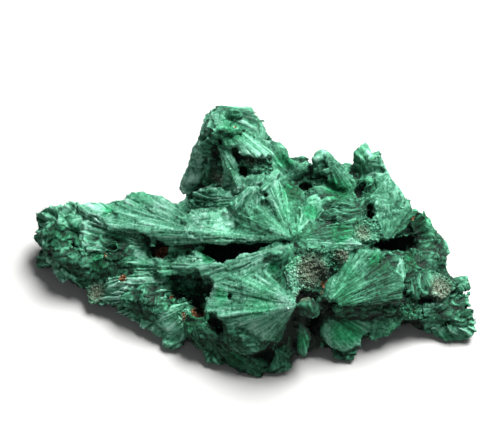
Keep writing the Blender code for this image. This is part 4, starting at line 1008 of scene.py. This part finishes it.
def malachite_material():
    """Silky green needles: a colour from black-green to mint, with streaks along the flow, rust and dust where the
    attributes say, and a bump of single needles. The black-green in pits and creases is painted shade from the pit
    attribute. The dark valleys and the mint ridges and needle ends that the pale attribute carries are painted shade
    and painted highlight over the stone's own tone."""
    material = bpy.data.materials.new("fibrous_malachite")
    nodes = Nodes(material)
    places = nodes.add("ShaderNodeTexCoord").outputs["Object"]
    flow = nodes.add("ShaderNodeAttribute", attribute_name="flow").outputs["Vector"]
    needles = nodes.add("ShaderNodeMapping", {"Vector": flow, "Scale": (4.5, 0.3, 1)}).outputs[0]
    strands = nodes.add("ShaderNodeMapping", {"Vector": flow, "Scale": (1.5, 0.12, 1)}).outputs[0]
    streak = nodes.noise(needles, 1.0, 2.0, 0.7)
    streak_broad = nodes.noise(strands, 1.0, 2.0, 0.6)
    speckle = nodes.noise(places, 1700, 3.0, 0.7)
    cloud = nodes.noise(places, 160, 3.0, 0.6)
    value = nodes.maths("MULTIPLY_ADD", nodes.value("pale"), 0.95, -0.42)
    value = nodes.maths("MULTIPLY_ADD", nodes.value("tone"), 0.55, value)
    for part, share in ((streak, 0.66), (streak_broad, 0.36), (speckle, 0.54), (cloud, 0.5)):
        value = nodes.maths("MULTIPLY_ADD", nodes.maths("SUBTRACT", part, 0.5), share, value)
    # Painted shade: the pit attribute darkens the colour towards black-green in pits and creases.
    deep = nodes.maths("MAXIMUM", nodes.maths("SUBTRACT", nodes.value("pit"), 0.1), 0.0)
    value = nodes.maths("MULTIPLY_ADD", deep, -2.8, nodes.maths("ADD", value, 0.185))
    green = nodes.ramp(value, (
        (0.0, (0.001, 0.008, 0.004)),
        (0.2, (0.004, 0.038, 0.018)),
        (0.42, (0.022, 0.122, 0.066)),
        (0.62, (0.068, 0.242, 0.146)),
        (0.82, (0.162, 0.368, 0.272)),
        (1.0, (0.27, 0.47, 0.385)),
    ))
    vivid = nodes.ramp(value, (
        (0.0, (0.0, 0.006, 0.002)),
        (0.35, (0.002, 0.07, 0.025)),
        (0.65, (0.012, 0.22, 0.085)),
        (1.0, (0.14, 0.5, 0.3)),
    ))
    patches = nodes.noise(places, 90, 2.0, 0.5)
    patches = nodes.maths("MULTIPLY_ADD", nodes.value("vivid"), 0.45, patches)
    patches = nodes.add("ShaderNodeMapRange", {"Value": patches, "From Min": 0.5, "From Max": 0.8}).outputs[0]
    green = nodes.mix(patches, green, vivid)
    grey = nodes.ramp(nodes.maths("ADD", value, 0.1), (
        (0.0, (0.008, 0.014, 0.008)),
        (0.5, (0.12, 0.145, 0.1)),
        (1.0, (0.3, 0.31, 0.27)),
    ))
    rust = nodes.ramp(nodes.maths("ADD", nodes.maths("MULTIPLY", speckle, 1.6), -0.3), (
        (0.0, (0.012, 0.006, 0.004)),
        (0.45, (0.09, 0.038, 0.018)),
        (0.75, (0.33, 0.15, 0.07)),
        (1.0, (0.55, 0.4, 0.26)),
    ))
    clumps = nodes.noise(places, 800, 4.0, 0.75)
    dusty = nodes.maths("MULTIPLY", nodes.value("dust"), nodes.maths("MULTIPLY", clumps, 1.5))
    rusty = nodes.maths("MULTIPLY_ADD", nodes.value("rust"), 1.6, nodes.maths("MULTIPLY_ADD", clumps, 2.5, -2.2))
    rusty = nodes.add("ShaderNodeMapRange", {"Value": rusty, "From Min": 0.0, "From Max": 0.3}).outputs[0]
    colour = nodes.mix(dusty, green, grey)
    colour = nodes.mix(rusty, colour, rust)
    bump = nodes.maths("MULTIPLY_ADD", streak, 1.0, nodes.maths("MULTIPLY", speckle, 0.9))
    normal = nodes.add("ShaderNodeBump", {"Height": bump, "Strength": 0.8, "Distance": 0.00022}).outputs[0]
    nodes.set(nodes.shader.inputs["Base Color"], colour)
    nodes.set(nodes.shader.inputs["Normal"], normal)
    nodes.set(nodes.shader.inputs["Roughness"], nodes.maths("MULTIPLY_ADD", streak, -0.2, 0.75))
    nodes.set(nodes.shader.inputs["Specular IOR Level"], 0.2)
    return material


def floor():
    """A plain pale floor under the specimen."""
    half = 1.5
    mesh = bpy.data.meshes.new("floor")
    mesh.from_pydata([(-half, -half, 0), (half, -half, 0), (half, half, 0), (-half, half, 0)], [], [(0, 1, 2, 3)])
    material = bpy.data.materials.new("pale_floor")
    material.use_nodes = True
    material.node_tree.nodes["Principled BSDF"].inputs["Base Color"].default_value = (0.38, 0.38, 0.37, 1)
    material.node_tree.nodes["Principled BSDF"].inputs["Roughness"].default_value = 0.8
    mesh.materials.append(material)
    piece = bpy.data.objects.new("floor", mesh)
    bpy.context.scene.collection.objects.link(piece)


def light(name, place, size, power):
    """A square soft light that looks at the specimen."""
    lamp = bpy.data.lights.new(name, "AREA")
    lamp.size = size
    lamp.energy = power
    item = bpy.data.objects.new(name, lamp)
    item.location = place
    way = -np.array(place)
    item.rotation_euler = (math.acos(-way[2] / np.linalg.norm(way)), 0, math.atan2(way[1], way[0]) - math.pi / 2)
    bpy.context.scene.collection.objects.link(item)


def camera():
    """Looks along +Y and down, as the photograph does: target, distance and lens in metres."""
    down = math.radians(52)
    item = bpy.data.objects.new("camera", bpy.data.cameras.new("camera"))
    item.location = (-0.00039, 0.00729 - 0.302 * math.cos(down), 0.015 + 0.302 * math.sin(down))
    item.rotation_euler = (math.radians(90) - down, 0, 0)
    item.data.lens = 96.77
    item.data.clip_start = 0.01
    bpy.context.scene.collection.objects.link(item)
    bpy.context.scene.camera = item


def surroundings():
    """A grey sky, a soft key light from behind on the right and a weak one in front."""
    world = bpy.data.worlds.new("studio")
    world.use_nodes = True
    world.node_tree.nodes["Background"].inputs["Color"].default_value = (0.9, 0.95, 1, 1)
    world.node_tree.nodes["Background"].inputs["Strength"].default_value = 0.15
    bpy.context.scene.world = world
    bpy.context.scene.view_settings.view_transform = "Standard"
    light("key", (0.2, 0.2, 0.5), 0.3, 13)
    light("front", (-0.15, -0.45, 0.5), 0.5, 0.4)


def main():
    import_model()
    rng = np.random.default_rng(5)
    material = malachite_material()
    shapes = [sheaf(*row[1:], seed=7 * i) for i, row in enumerate(SHEAVES)]
    for i, (_, middle, half, count, finish) in enumerate(LUMPS):
        shapes.append(lump(middle, half, LUMP_ROUGHNESS, 100 + i, finish))
        shapes += tufts(middle, half, count, i + 1)
    skins = [skin_shape(mesh) for mesh in grown_together(shapes)]
    skin = {key: np.concatenate([part[key] for part in skins]) for key in skins[0] if key != "triangles"}
    heights = sky_map(skin["vertices"])
    pit = enclosed(skin["vertices"], heights)
    pieces = {f"needle_skin_{i + 1}": part for i, part in enumerate(skins)}
    for i in range(NEEDLE_PIECES):
        pieces[f"loose_needles_{i + 1}"] = strands(skin, pit, NEEDLES_A_PIECE, rng)
    pieces["crumbs"] = grains(skin, 6000, (0.15, 0.42), rng)
    for name, shape in pieces.items():
        piece = make_piece(name, shape, heights, material)
        print(name, len(shape["triangles"]))
        if name.startswith("needle_skin"):
            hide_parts(NODE)
    floor()
    camera()
    surroundings()


main()
